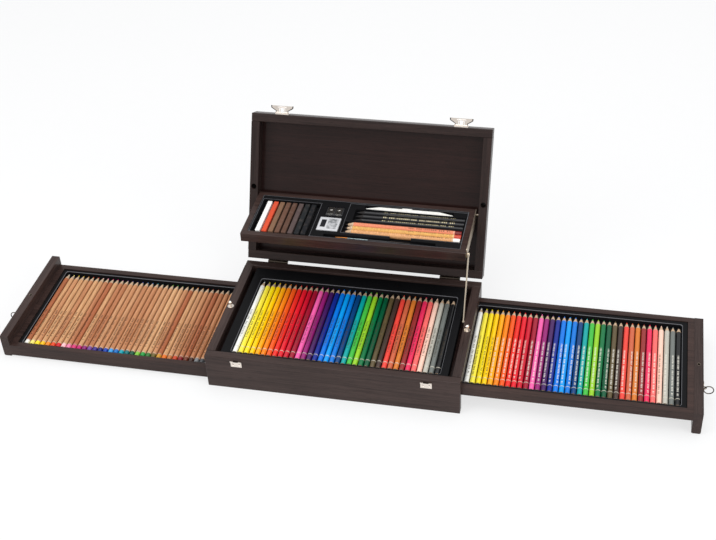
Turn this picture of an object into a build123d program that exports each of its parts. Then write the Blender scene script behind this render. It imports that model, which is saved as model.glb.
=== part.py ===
"""Wooden pencil case with a folding lid tray and two side drawers on two levels.

X runs along the case's width, Y to the back and Z up, with the origin at the centre of its underside.
The case stands open: lid back on its stay, lid tray level, both drawers pulled out.
All sizes are in millimetres.
"""
import os
from math import cos, radians, sin

from build123d import *

os.makedirs("parts", exist_ok=True)

# Case and lid
CASE_W = 390.0  # outside width
PENCIL_L = 175.0  # length of a standard pencil
PENCIL_ROOM = 65.0  # walls, rails and finger room in front of and behind the pencils
CASE_D = PENCIL_L + PENCIL_ROOM  # outside depth
BASE_H = 61.0  # height of the base
LID_H = 25.0  # height of the lid
WALL = 13.5  # thickness of the case's and the lid's walls
EDGE_R = 1.2  # broken corner of the outer edges
LID_GAP = 0.3  # the shut lid's rim over the base's rim
OPEN_ANGLE = 115.0  # how far the lid stands open
LID_PANEL_T = 4.0
LID_PANEL_INSET = 0.8  # the panel's outer face below the top edge of the lid's walls
GROOVE = 3.0  # depth of the grooves that hold boards
GROOVE_PLAY = 0.2

# Boards inside the base
RAIL_H = 20.0  # height of the rails over the two side openings
FLOOR_T = 3.0
SHELF_T = 2.0
BED_BOARD_T = 3.0

# Drawers
TRAY_END_GAP = 3.0  # shut drawers: from a tray's inner end to the other side of the case
HELD_IN = 14.0  # what stays in the case of a drawer pulled out to its pegs
PANEL_BOTTOM = 1.2
PANEL_GAP = 0.4
PANEL_R = 2.5
RUN_GAP = 0.4  # over and under a drawer's tray
SIDE_PLAY = 0.4  # between a drawer and the walls beside it
LOW_TRAY_H = 19.8
HIGH_TRAY_TOP_GAP = 1.0
TRAY_SIDE = 10.0  # thickness of the tray's long rails
TRAY_OUT_END = 9.5  # thickness of the end rail at the panel
TRAY_IN_END = 22.0  # thickness of the end rail inside the case
TRAY_BOTTOM_T = 2.0
PEG_R = 2.0
PEG_REACH = 3.2
PEG_INSET = 5.5  # from the case's inner end face to the peg's axis
PEG_PLAY = 0.3
PEG_GROOVE_END = 2.0  # solid wood between the peg's groove and the panel

# Pencils and the moulded beds that hold them
PENCIL_R = 3.8
LONG_PENCIL_EXTRA = 6.0  # the left drawer's pencils are longer
HEX_FLATS = 7.2
POINT_L = 15.0
POINT_R = 0.5
HEX_SPACE = 0.57  # between the corners of two hexagonal pencils
BED_SHIFT = 1.8  # the case bed's row lies this far right of the middle
LOW_SPACE = 1.28  # between two pencils of the left drawer
HIGH_SPACE = 1.12  # between two pencils of the right drawer
BED_ROW_END = 12.0  # least room beside the case bed's row
DRAWER_ROW_END = 3.8  # least room beside a drawer's row
LOW_SHIFT = 2.6  # the drawers' rows lie this far towards the case
HIGH_SHIFT = 1.6
BED_TOP_DROP = 3.0  # the case bed's top below the rim
BED_GAP = 7.0  # finger gap at each end of the case bed
BED_PLAY = 0.4
BED_DEEP = 7.6
BED_Y = 11.5  # the row's middle in front of the case's middle
DRAWER_Y = -2.0
SKIN = 1.6
REST_GAP = 0.02  # under anything round that lies in a pocket
POCKET_R = 4.0
POCKET_END = 2.0  # room at each end of a row of pencils
POCKET_SIDE = 1.2  # room beside a row of pencils
HIGH_BED_DROP = 1.0  # a drawer bed's top below the tray's rim
LOW_BED_DROP = 1.6
HIGH_ROW_DROP = 1.5  # the pencils' tops below the tray's rim
LOW_ROW_DROP = 2.4

# Hinges
HINGE_OUT = 2.5  # the hinge axis behind the case's back face
HINGE_IN = 52.0  # the hinges' middles from the case's sides
HINGE_W = 33.0
LEAF_T = 1.2
LEAF_H = 15.0
KNUCKLE_R = 2.4
KNUCKLE_GAP = 0.3
HINGE_PIN_R = 1.2
HINGE_PLAY = 0.08
LEAF_CLEAR = 2.8

# Tray in the lid
TRAY_PIVOT_UP_LID = 104.8  # from the hinge axis, along the lid
TRAY_PIVOT_IN_LID = 7.0  # from the lid's rim plane into the lid
LT_SHORT = 128.0  # the tray's reach in front of its pivot is this much less than the case's depth
LT_BACK = 6.0  # from the tray's pivot to its back
LT_BELOW = 8.5
LT_ABOVE = 7.0
LT_LEFT_GAP = 1.5
LT_RIGHT_GAP = 5.1
LT_RAIL = 9.0
LT_BOTTOM_T = 2.0
PIVOT_R = 2.0
PIVOT_IN = 6.5
RUN_FIT = 0.08  # radial clearance of the pivots

# Stay beside the tray
STAY_Y = 22.5
STAY_DROP = 4.0  # the stay's lower pivot below the rim
STRAP_T = 1.2
ARM_T = 1.6
ARM_W = 7.0
ARM_OFF = 1.0  # between strap and arm
STAY_PIN_R = 1.5
STAY_HEAD_R = 2.6
STAY_HEAD_T = 0.6
STRAP_DOWN = 4.0
STRAP_UP = 1.0

# Draw latches
LATCH_IN = 50.0  # the latches' middles from the case's sides
LATCH_PLATE_W = 22.0
LATCH_PLATE_H = 12.5
LATCH_T = 1.2
LATCH_OUT = 2.7  # latch axis in front of the lid's face
LATCH_UP = 2.8  # latch axis over the base's rim plane
LATCH_PIN_R = 0.7
KNUCKLE_OVER = 0.55  # metal around the latch pin
EAR_T = 1.3
LEVER_L = 11.2
LEVER_T = 1.1
LEVER_NECK = 18.5
LEVER_W = 35.0
LEVER_TIP = 3.2  # straight part at the free end
LEVER_BAR = 1.0
CURL_R = 1.4
WINDOW_W = 10.0
LOOP_WIRE_R = 0.75
LOOP_ARM_R = 0.65
LOOP_ARM_X = 3.3
LOOP_BAR = 13.2
KEEPER_W = 17.0
KEEPER_H = 12.0
KEEPER_DROP = 3.5  # the keeper's top below the base's rim
LIP_OUT = 3.6
LIP_H = 1.6
NOTCH_W = 8.4
NOTCH_H = 3.0

# Lock pins
BALL_R = 3.2
PIN_R = 1.8
PIN_UP = 3.5  # the ball over its bush
PIN_TIP_GAP = 0.1  # the tip inside the rail's underside
PIN_TRAVEL_UP = 4.0
BUSH_R = 3.0
COLLAR_R = 5.0
COLLAR_T = 1.3  # let into the rail, flush with the rim
PANEL_HOLE_R = 2.4
PANEL_HOLE_D = 6.0
LID_HOLE_PLAY = 1.2  # between the ball and its socket in the lid

# Ring pulls
PULL_Y = -34.5
PULL_Z = 26.0
ROSE_R = 9.5
ROSE_T = 1.2
EYE_OUT = 5.5  # the eye's outer wire in front of the panel
EYE_R = 2.3
EYE_WIRE_R = 0.8
RING_R = 7.0
RING_WIRE_R = 0.8
RING_PLAY = 0.05
RING_REST = 0.3  # between the hanging ring and the rose

# Contents of the lid tray; distances in Y are from the tray's pivot to the front
STICK_W = 7.4
STICK_PITCH = 10.5
STICK_POCKET_IN = 4.5  # from the tray's left rail to the sticks' pocket
STICK_POCKET_BACK = 14.5
STICK_POCKET_FRONT = 9.5  # from the tray's front face
STICK_END = 3.5  # room at each end of a stick
STICK_SIDE = 5.0  # least room beside the row of sticks
TOOL_WALL = 8.0  # between the sticks' pocket and the eraser
POCKET_FIT = 0.6
LT_FLOOR_DROP = 8.0
LT_BED_DROP = 0.6
ROW_IN = 3.9  # from the tray's right rail to the pencils' flat ends
STUMP_BACK = 13.5
STUMP_IN = 21.0  # from the pencils' flat ends to the stump's tip
STUMP_L = 141.0
STUMP_R = 4.4
STUMP_POINT = 22.0
BLACK_BACK = 25.0  # the first black pencil's axis
BLACK_PITCH = 10.5
WOOD_FRONT = 32.5  # the last wooden pencil's axis from the tray's front face
WOOD_R = 4.6
WOOD_SPACE = 0.4
WOOD_COUNT = 3
ROW_GAP = 2.0  # least gap between the black and the wooden pencils
WOOD_EXTRA = 10.0  # longer than a standard pencil
ERASER = (34.0, 34.0, 9.0)
ERASER_OFF = (35.5, 67.5)  # left of the black pencils' tips, in front of the pivot
SHARPENER = (28.0, 22.0, 9.0)
SHARPENER_OFF = (33.5, 31.5)
SHARPENER_BORE_R = 3.4
SHARPENER_BORE_X = 6.5
SHARPENER_BORE_DEEP = 12.0
BRUSH_FRONT = 16.0  # the brush's axis from the tray's front face
BRUSH_OFF = 25.0  # the brush's tip left of the black pencils' tips
BRUSH_ROOM = 12.0  # empty end of the brush's pocket
HAIR_L = 26.0
FERRULE_L = 32.0
HANDLE_L = 105.0
BRUSH_R = 2.9

# Places worked out from the sizes
IN_X = CASE_W / 2 - WALL
IN_Y = CASE_D / 2 - WALL
TRAY_L = 2 * IN_X - TRAY_END_GAP  # a drawer's tray behind its panel
TRAVEL = TRAY_L - HELD_IN
LONG_PENCIL_L = PENCIL_L + LONG_PENCIL_EXTRA
BED_PITCH = HEX_FLATS / cos(radians(30)) + HEX_SPACE
LOW_PITCH = 2 * PENCIL_R + LOW_SPACE
HIGH_PITCH = 2 * PENCIL_R + HIGH_SPACE
HINGE_X = CASE_W / 2 - HINGE_IN
LATCH_X = CASE_W / 2 - LATCH_IN
LT_FRONT = CASE_D - LT_SHORT
RAIL_Z = BASE_H - RAIL_H
PANEL_TOP = RAIL_Z - PANEL_GAP
LOW_Z = FLOOR_T + RUN_GAP
LOW_TOP = LOW_Z + LOW_TRAY_H
SHELF_Z = LOW_TOP + RUN_GAP
HIGH_Z = SHELF_Z + SHELF_T + RUN_GAP
HIGH_TOP = RAIL_Z - HIGH_TRAY_TOP_GAP
PIN_X = CASE_W / 2 - WALL / 2
HINGE_Y = CASE_D / 2 + HINGE_OUT
TILT = radians(OPEN_ANGLE)
LID_PLANE = Plane(origin=(0, HINGE_Y, BASE_H), x_dir=(1, 0, 0), z_dir=(0, sin(TILT), cos(TILT)))
LID_FRONT = -HINGE_Y - CASE_D / 2
LID_BACK = -HINGE_OUT
LT_Y = HINGE_Y - TRAY_PIVOT_UP_LID * cos(TILT) + TRAY_PIVOT_IN_LID * sin(TILT)
LT_Z = BASE_H + TRAY_PIVOT_UP_LID * sin(TILT) + TRAY_PIVOT_IN_LID * cos(TILT)
LT_LEFT = -IN_X + LT_LEFT_GAP
LT_RIGHT = IN_X - LT_RIGHT_GAP
STAY_Z = BASE_H - STAY_DROP
KNEE_Y = LT_Y + STAY_Y - HINGE_Y
KNEE_Z = LT_Z - STAY_DROP
ARM_X = LT_RIGHT + STRAP_T + ARM_OFF
ROW_RIGHT = LT_RIGHT - LT_RAIL - ROW_IN
ROW_LEFT = ROW_RIGHT - PENCIL_L
WOOD_PITCH = 2 * WOOD_R + WOOD_SPACE
WOOD_ROWS = [WOOD_FRONT - LT_FRONT + index * WOOD_PITCH for index in range(WOOD_COUNT)]
BLACK_COUNT = int((-BLACK_BACK - WOOD_ROWS[-1] - WOOD_R - ROW_GAP - PENCIL_R) / BLACK_PITCH) + 1
BLACK_ROWS = [-BLACK_BACK - index * BLACK_PITCH for index in range(BLACK_COUNT)]
ERASER_AT = (ROW_LEFT - ERASER_OFF[0], -ERASER_OFF[1])
SHARPENER_AT = (ROW_LEFT - SHARPENER_OFF[0], -SHARPENER_OFF[1])
STICK_POCKET = (LT_LEFT + LT_RAIL + STICK_POCKET_IN, ERASER_AT[0] - ERASER[0] / 2 - TOOL_WALL)
STICK_POCKET_Y = (STICK_POCKET_FRONT - LT_FRONT, -STICK_POCKET_BACK)
STICKS = int((STICK_POCKET[1] - STICK_POCKET[0] - 2 * STICK_SIDE) / STICK_PITCH)
STUMP_X = ROW_RIGHT - STUMP_IN - STUMP_L / 2
BRUSH_Y = BRUSH_FRONT - LT_FRONT
BRUSH_TIP_X = ROW_LEFT - BRUSH_OFF
BRUSH_L = HAIR_L + FERRULE_L + HANDLE_L
LOOP_REACH = LATCH_UP + KEEPER_DROP + LIP_H + LOOP_WIRE_R + 0.1


def block(x, y, z, mode=Mode.ADD):
    """A box between the low and high values given for each axis."""
    with Locations(((x[0] + x[1]) / 2, (y[0] + y[1]) / 2, (z[0] + z[1]) / 2)):
        Box(x[1] - x[0], y[1] - y[0], z[1] - z[0], mode=mode)


def rod_x(radius, x, y, z, mode=Mode.ADD):
    """A round rod along X between the two values of x."""
    with Locations(Location(((x[0] + x[1]) / 2, y, z), (0, 90, 0))):
        Cylinder(radius, x[1] - x[0], mode=mode)


def rod_y(radius, x, y, z, mode=Mode.ADD):
    """A round rod along Y between the two values of y."""
    with Locations(Location((x, (y[0] + y[1]) / 2, z), (90, 0, 0))):
        Cylinder(radius, y[1] - y[0], mode=mode)


def rod_z(radius, x, y, z, mode=Mode.ADD):
    """A round rod along Z between the two values of z."""
    with Locations((x, y, (z[0] + z[1]) / 2)):
        Cylinder(radius, z[1] - z[0], mode=mode)


def span(side, low, high):
    """The stretch from low to high on the right, or its mirror image on the left."""
    return tuple(sorted((side * low, side * high)))


def keep(piece, name):
    """Labels a finished piece and writes it."""
    piece.part.label = name
    export_step(piece.part, f"parts/{name}.step")


def moulded_bed(x, y, z, pocket_x, pocket_y, floor_z):
    """A moulded bed between x, y and z, hollow underneath, with one rounded pocket down to floor_z."""
    block(x, y, z)
    with BuildSketch(Plane.XY.offset(floor_z)) as pocket:
        with Locations((sum(pocket_x) / 2, sum(pocket_y) / 2)):
            RectangleRounded(pocket_x[1] - pocket_x[0], pocket_y[1] - pocket_y[0], POCKET_R)
    extrude(pocket.sketch, amount=z[1] - floor_z, mode=Mode.SUBTRACT)
    if floor_z - SKIN > z[0] + 1:
        block(
            (x[0] + SKIN, x[1] - SKIN),
            (y[0] + SKIN, y[1] - SKIN),
            (z[0], floor_z - SKIN),
            mode=Mode.SUBTRACT,
        )


# One pencil of each kind, point to the back, its flat end at the origin
with BuildPart() as round_pencil:
    with BuildSketch(Plane.XY):
        with BuildLine():
            Polyline(
                (0, 0),
                (PENCIL_R, 0),
                (PENCIL_R, PENCIL_L - POINT_L),
                (POINT_R, PENCIL_L),
                (0, PENCIL_L),
                close=True,
            )
        make_face()
    revolve(axis=Axis.Y)

with BuildPart() as long_pencil:
    with BuildSketch(Plane.XY):
        with BuildLine():
            Polyline(
                (0, 0),
                (PENCIL_R, 0),
                (PENCIL_R, LONG_PENCIL_L - POINT_L),
                (POINT_R, LONG_PENCIL_L),
                (0, LONG_PENCIL_L),
                close=True,
            )
        make_face()
    revolve(axis=Axis.Y)

with BuildPart() as hex_pencil:
    with BuildSketch(Plane.XZ):
        RegularPolygon(HEX_FLATS / 2, 6, major_radius=False, rotation=0)
    extrude(amount=-(PENCIL_L - POINT_L))
    with BuildSketch(Plane.XZ.offset(-(PENCIL_L - POINT_L))):
        Circle(HEX_FLATS / 2)
    with BuildSketch(Plane.XZ.offset(-PENCIL_L)):
        Circle(POINT_R)
    loft()


def row_count(bed_length, end, pitch):
    """How many pencils lie side by side in a bed with this much room at each end."""
    return int((bed_length - 2 * end) / pitch)


def pencil_row(pencil, count, first_x, pitch, end_y, z):
    """A row of pencils side by side, the first at first_x, their flat ends at end_y."""
    with Locations(*[(first_x + index * pitch, end_y, z) for index in range(count)]):
        add(pencil.part)


# Base: front and back walls, grooved for the three boards
BOARDS = ((0, FLOOR_T), (SHELF_Z, SHELF_Z + SHELF_T), (RAIL_Z, RAIL_Z + BED_BOARD_T))
for facing, wall_name in ((-1, "front_wall"), (1, "back_wall")):
    with BuildPart() as wall:
        block((-CASE_W / 2, CASE_W / 2), span(facing, IN_Y, CASE_D / 2), (0, BASE_H))
        for low, high in BOARDS:
            block((-IN_X, IN_X), span(facing, IN_Y, IN_Y + GROOVE), (low, high), mode=Mode.SUBTRACT)
        outer_edges = wall.edges().filter_by(Axis.Z).group_by(Axis.Y)[0 if facing < 0 else -1]
        chamfer(outer_edges, EDGE_R)
    keep(wall, wall_name)

for (low, high), board_name in zip(BOARDS, ("floor_board", "shelf_board", "bed_board")):
    with BuildPart() as board:
        block(
            (-IN_X + GROOVE_PLAY, IN_X - GROOVE_PLAY),
            (-IN_Y - GROOVE + GROOVE_PLAY, IN_Y + GROOVE - GROOVE_PLAY),
            (low, high),
        )
    keep(board, board_name)

# Rails over the side openings, bored for the lock pins
for side, side_name in ((-1, "left"), (1, "right")):
    with BuildPart() as rail:
        block(span(side, IN_X, CASE_W / 2), (-IN_Y, IN_Y), (RAIL_Z, BASE_H))
        rod_z(BUSH_R, side * PIN_X, 0, (RAIL_Z, BASE_H), mode=Mode.SUBTRACT)
        rod_z(COLLAR_R, side * PIN_X, 0, (BASE_H - COLLAR_T, BASE_H), mode=Mode.SUBTRACT)
        if side > 0:
            rod_x(STAY_PIN_R, (IN_X, IN_X + WALL / 2), STAY_Y, STAY_Z, mode=Mode.SUBTRACT)
    keep(rail, f"side_rail_{side_name}")

    with BuildPart() as bush:
        rod_z(BUSH_R, side * PIN_X, 0, (RAIL_Z, BASE_H))
        rod_z(COLLAR_R, side * PIN_X, 0, (BASE_H - COLLAR_T, BASE_H))
        rod_z(PIN_R + RUN_FIT, side * PIN_X, 0, (RAIL_Z, BASE_H), mode=Mode.SUBTRACT)
    keep(bush, f"pin_bush_{side_name}")

    ball_z = BASE_H + PIN_UP + BALL_R
    with BuildPart() as pin:
        rod_z(PIN_R, side * PIN_X, 0, (RAIL_Z + PIN_TIP_GAP, ball_z))
        chamfer(pin.edges().group_by(Axis.Z)[0], PIN_R * 0.4)
        with Locations((side * PIN_X, 0, ball_z)):
            Sphere(BALL_R)
    keep(pin, f"lock_pin_{side_name}")

# Pegs glued to the back wall, that stop the drawers at full travel
with BuildPart() as pegs:
    for side, peg_z in ((-1, (LOW_Z + LOW_TOP) / 2), (1, (HIGH_Z + HIGH_TOP) / 2)):
        rod_y(PEG_R, side * (IN_X - PEG_INSET), (IN_Y - PEG_REACH, IN_Y), peg_z)
keep(pegs, "stop_pegs")

# Keepers of the latches on the front wall
for side, side_name in ((-1, "left"), (1, "right")):
    keeper_top = BASE_H - KEEPER_DROP
    x = side * LATCH_X
    with BuildPart() as keeper:
        block(
            (x - KEEPER_W / 2, x + KEEPER_W / 2),
            (-CASE_D / 2 - LATCH_T, -CASE_D / 2),
            (keeper_top - KEEPER_H, keeper_top),
        )
        block(
            (x - KEEPER_W / 2, x + KEEPER_W / 2),
            (-CASE_D / 2 - LIP_OUT, -CASE_D / 2 - LATCH_T),
            (keeper_top - LIP_H, keeper_top),
        )
        block(
            (x - NOTCH_W / 2, x + NOTCH_W / 2),
            (-CASE_D / 2 - LIP_OUT, -CASE_D / 2),
            (keeper_top - NOTCH_H, keeper_top),
            mode=Mode.SUBTRACT,
        )
        with Locations(Location((x, -CASE_D / 2 - LATCH_T, keeper_top - KEEPER_H * 0.62), (90, 0, 0))):
            with GridLocations(KEEPER_W * 0.6, 1, 2, 1):
                CounterSinkHole(0.9, 1.6, LATCH_T)
    keep(keeper, f"latch_keeper_{side_name}")

# Hinges: a leaf on the base's back face, a leaf on the lid's back face and a pin
KNUCKLE = HINGE_W / 3
for side, side_name in ((-1, "left"), (1, "right")):
    x = side * HINGE_X
    middle = KNUCKLE / 2 + KNUCKLE_GAP
    ends = ((x - HINGE_W / 2, x - middle), (x + middle, x + HINGE_W / 2))
    with BuildPart() as leaf:
        block(
            (x - HINGE_W / 2, x + HINGE_W / 2),
            (CASE_D / 2, CASE_D / 2 + LEAF_T),
            (BASE_H - LEAF_CLEAR - LEAF_H, BASE_H - LEAF_CLEAR),
        )
        for end in ends:
            block(end, (CASE_D / 2, CASE_D / 2 + LEAF_T), (BASE_H - LEAF_CLEAR, BASE_H))
            rod_x(KNUCKLE_R, end, HINGE_Y, BASE_H)
        rod_x(HINGE_PIN_R, (x - HINGE_W / 2, x + HINGE_W / 2), HINGE_Y, BASE_H, mode=Mode.SUBTRACT)
    keep(leaf, f"hinge_leaf_base_{side_name}")

    with BuildPart(LID_PLANE) as lid_leaf:
        block(
            (x - HINGE_W / 2, x + HINGE_W / 2),
            (LID_BACK, LID_BACK + LEAF_T),
            (LEAF_CLEAR, LEAF_CLEAR + LEAF_H),
        )
        block((x - KNUCKLE / 2, x + KNUCKLE / 2), (LID_BACK, LID_BACK + LEAF_T), (LID_GAP, LEAF_CLEAR))
        rod_x(KNUCKLE_R, (x - KNUCKLE / 2, x + KNUCKLE / 2), 0, 0)
        rod_x(HINGE_PIN_R + HINGE_PLAY, (x - HINGE_W / 2, x + HINGE_W / 2), 0, 0, mode=Mode.SUBTRACT)
    keep(lid_leaf, f"hinge_leaf_lid_{side_name}")

with BuildPart() as hinge_pins:
    for side in (-1, 1):
        x = side * HINGE_X
        rod_x(HINGE_PIN_R, (x - HINGE_W / 2, x + HINGE_W / 2), HINGE_Y, BASE_H)
keep(hinge_pins, "hinge_pins")

# Lid: four walls and a panel let into them
LID_TOP = LID_GAP + LID_H
PANEL_OUT = LID_TOP - LID_PANEL_INSET
for (low, high), wall_name in (
    ((LID_FRONT, LID_FRONT + WALL), "lid_front_wall"),
    ((LID_BACK - WALL, LID_BACK), "lid_back_wall"),
):
    inner = high if low == LID_FRONT else low
    groove_y = (inner - GROOVE, inner) if low == LID_FRONT else (inner, inner + GROOVE)
    with BuildPart(LID_PLANE) as lid_wall:
        block((-CASE_W / 2, CASE_W / 2), (low, high), (LID_GAP, LID_TOP))
        block(
            (-IN_X - GROOVE, IN_X + GROOVE),
            groove_y,
            (PANEL_OUT - LID_PANEL_T, PANEL_OUT),
            mode=Mode.SUBTRACT,
        )
    keep(lid_wall, wall_name)

BALL_ROOM = PIN_UP + 2 * BALL_R + PIN_TRAVEL_UP + LID_HOLE_PLAY
for side, side_name in ((-1, "left"), (1, "right")):
    with BuildPart(LID_PLANE) as lid_side:
        block(
            span(side, IN_X, CASE_W / 2),
            (LID_FRONT + WALL, LID_BACK - WALL),
            (LID_GAP, LID_TOP),
        )
        block(
            span(side, IN_X, IN_X + GROOVE),
            (LID_FRONT + WALL, LID_BACK - WALL),
            (PANEL_OUT - LID_PANEL_T, PANEL_OUT),
            mode=Mode.SUBTRACT,
        )
        rod_z(
            BALL_R + LID_HOLE_PLAY,
            side * PIN_X,
            -HINGE_Y,
            (LID_GAP, BALL_ROOM),
            mode=Mode.SUBTRACT,
        )
        rod_x(
            PIVOT_R,
            span(side, IN_X, IN_X + PIVOT_IN),
            -TRAY_PIVOT_UP_LID,
            TRAY_PIVOT_IN_LID,
            mode=Mode.SUBTRACT,
        )
    keep(lid_side, f"lid_side_{side_name}")

with BuildPart(LID_PLANE) as lid_panel:
    block(
        (-IN_X - GROOVE + GROOVE_PLAY, IN_X + GROOVE - GROOVE_PLAY),
        (LID_FRONT + WALL - GROOVE + GROOVE_PLAY, LID_BACK - WALL + GROOVE - GROOVE_PLAY),
        (PANEL_OUT - LID_PANEL_T, PANEL_OUT),
    )
keep(lid_panel, "lid_panel")

# Latches on the lid's front wall: plate with ears and pin, lever and wire loop
LATCH_Y = LID_FRONT - LATCH_OUT
for side, side_name in ((-1, "left"), (1, "right")):
    x = side * LATCH_X
    half = LATCH_PLATE_W / 2
    with BuildPart(LID_PLANE) as plate:
        block((x - half, x + half), (LID_FRONT - LATCH_T, LID_FRONT), (1.2, 1.2 + LATCH_PLATE_H))
        for ear in ((x - half, x - half + EAR_T), (x + half - EAR_T, x + half)):
            block(ear, (LATCH_Y - 1.6, LID_FRONT), (LATCH_UP - 1.6, LATCH_UP + 1.6))
        rod_x(LATCH_PIN_R, (x - half, x + half), LATCH_Y, LATCH_UP)
    keep(plate, f"latch_plate_{side_name}")

    # The lever stands out from the lid, wider at its free end, with a window for the loop
    neck = LEVER_NECK / 2
    wide = LEVER_W / 2
    with BuildPart(LID_PLANE) as lever:
        with BuildSketch(LID_PLANE.offset(LATCH_UP - LEVER_T / 2)):
            with BuildLine():
                Polyline(
                    (x - neck, LATCH_Y),
                    (x - neck, LATCH_Y - 3.0),
                    (x - wide, LATCH_Y - LEVER_L + LEVER_TIP),
                    (x - wide, LATCH_Y - LEVER_L),
                    (x + wide, LATCH_Y - LEVER_L),
                    (x + wide, LATCH_Y - LEVER_L + LEVER_TIP),
                    (x + neck, LATCH_Y - 3.0),
                    (x + neck, LATCH_Y),
                    close=True,
                )
            make_face()
            with Locations((x, LATCH_Y - (LEVER_L - LEVER_BAR) / 2 + 1)):
                Rectangle(WINDOW_W, LEVER_L - LEVER_BAR + 2, mode=Mode.SUBTRACT)
            with Locations((x, LATCH_Y - LOOP_REACH)):
                Rectangle(LOOP_BAR + 1.4, 2 * LOOP_WIRE_R + 0.7, mode=Mode.SUBTRACT)
        extrude(amount=LEVER_T)
        for low, high in ((x - neck, x - WINDOW_W / 2), (x + WINDOW_W / 2, x + neck)):
            rod_x(LATCH_PIN_R + KNUCKLE_OVER, (low, high), LATCH_Y, LATCH_UP)
            rod_x(LATCH_PIN_R + RUN_FIT, (low, high), LATCH_Y, LATCH_UP, mode=Mode.SUBTRACT)
        tip = (LATCH_Y - LEVER_L, LATCH_Y - LEVER_L + LEVER_TIP)
        for curl_x in (x - wide + CURL_R, x + wide - CURL_R):
            rod_y(CURL_R, curl_x, tip, LATCH_UP + CURL_R - LEVER_T / 2)
    keep(lever, f"latch_lever_{side_name}")

    with BuildPart(LID_PLANE) as loop:
        for arm_x in (x - LOOP_ARM_X, x + LOOP_ARM_X):
            rod_y(LOOP_ARM_R, arm_x, (LATCH_Y - LOOP_REACH, LATCH_Y - LATCH_PIN_R - 0.3), LATCH_UP)
            eye = (arm_x - LOOP_WIRE_R - 0.2, arm_x + LOOP_WIRE_R + 0.2)
            rod_x(KNUCKLE_OVER + LATCH_PIN_R, eye, LATCH_Y, LATCH_UP)
        rod_x(LOOP_WIRE_R, (x - LOOP_BAR / 2, x + LOOP_BAR / 2), LATCH_Y - LOOP_REACH, LATCH_UP)
        rod_x(LATCH_PIN_R + RUN_FIT, (x - neck, x + neck), LATCH_Y, LATCH_UP, mode=Mode.SUBTRACT)
    keep(loop, f"latch_loop_{side_name}")

# Pivot studs of the lid tray, driven into the lid's sides
with BuildPart() as studs:
    rod_x(PIVOT_R, (-IN_X - PIVOT_IN, LT_LEFT + PIVOT_IN), LT_Y, LT_Z)
    rod_x(PIVOT_R, (LT_RIGHT - PIVOT_IN, IN_X + PIVOT_IN), LT_Y, LT_Z)
keep(studs, "tray_pivot_studs")

# Lid tray: frame, bottom, strap and bed
LT_TOP = LT_Z + LT_ABOVE
LT_LOW = LT_Z - LT_BELOW
LT_FRONT_Y = LT_Y - LT_FRONT
LT_BACK_Y = LT_Y + LT_BACK
with BuildPart() as frame:
    block((LT_LEFT, LT_RIGHT), (LT_FRONT_Y, LT_BACK_Y), (LT_LOW, LT_TOP))
    fillet(frame.edges().filter_by(Axis.X), 1.0)
    block(
        (LT_LEFT + LT_RAIL, LT_RIGHT - LT_RAIL),
        (LT_FRONT_Y + LT_RAIL, LT_BACK_Y - LT_RAIL),
        (LT_LOW, LT_TOP),
        mode=Mode.SUBTRACT,
    )
    rod_x(PIVOT_R + RUN_FIT, (LT_LEFT, LT_LEFT + LT_RAIL), LT_Y, LT_Z, mode=Mode.SUBTRACT)
    rod_x(PIVOT_R + RUN_FIT, (LT_RIGHT - LT_RAIL, LT_RIGHT), LT_Y, LT_Z, mode=Mode.SUBTRACT)
keep(frame, "lid_tray_frame")

with BuildPart() as tray_bottom:
    block(
        (LT_LEFT + LT_RAIL, LT_RIGHT - LT_RAIL),
        (LT_FRONT_Y + LT_RAIL, LT_BACK_Y - LT_RAIL),
        (LT_LOW, LT_LOW + LT_BOTTOM_T),
    )
keep(tray_bottom, "lid_tray_bottom")

with BuildPart() as strap:
    block(
        (LT_RIGHT, LT_RIGHT + STRAP_T),
        (KNEE_Y - ARM_W / 2, LT_BACK_Y),
        (KNEE_Z - STRAP_DOWN, LT_TOP + STRAP_UP),
    )
    fillet(strap.edges().filter_by(Axis.X), 2.0)
    rod_x(PIVOT_R + RUN_FIT, (LT_RIGHT, LT_RIGHT + STRAP_T), LT_Y, LT_Z, mode=Mode.SUBTRACT)
    rod_x(STAY_PIN_R, (LT_RIGHT + STRAP_T, ARM_X + ARM_T + 0.1), KNEE_Y, KNEE_Z)
    rod_x(STAY_HEAD_R, (LT_RIGHT + STRAP_T, ARM_X - 0.1), KNEE_Y, KNEE_Z)
    rod_x(STAY_HEAD_R, (ARM_X + ARM_T + 0.1, ARM_X + ARM_T + 0.1 + STAY_HEAD_T), KNEE_Y, KNEE_Z)
keep(strap, "lid_tray_strap")

# Stay arm between the base and the tray's strap, of the same length as from hinge to tray pivot
ARM_LINE = Plane(origin=(ARM_X, STAY_Y, STAY_Z), x_dir=(0, KNEE_Y - STAY_Y, KNEE_Z - STAY_Z), z_dir=(1, 0, 0))
ARM_L = ((KNEE_Y - STAY_Y) ** 2 + (KNEE_Z - STAY_Z) ** 2) ** 0.5
with BuildPart() as arm:
    with BuildSketch(ARM_LINE):
        with Locations((ARM_L / 2, 0)):
            SlotCenterToCenter(ARM_L, ARM_W)
        with Locations((0, 0), (ARM_L, 0)):
            Circle(STAY_PIN_R + RUN_FIT, mode=Mode.SUBTRACT)
    extrude(amount=ARM_T)
keep(arm, "stay_arm")

with BuildPart() as stay_screw:
    rod_x(STAY_PIN_R, (ARM_X - 0.1, IN_X + WALL / 2), STAY_Y, STAY_Z)
    rod_x(STAY_HEAD_R, (ARM_X - 0.1 - STAY_HEAD_T, ARM_X - 0.1), STAY_Y, STAY_Z)
    rod_x(STAY_HEAD_R, (ARM_X + ARM_T + 0.1, IN_X), STAY_Y, STAY_Z)
keep(stay_screw, "stay_screw")

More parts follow.
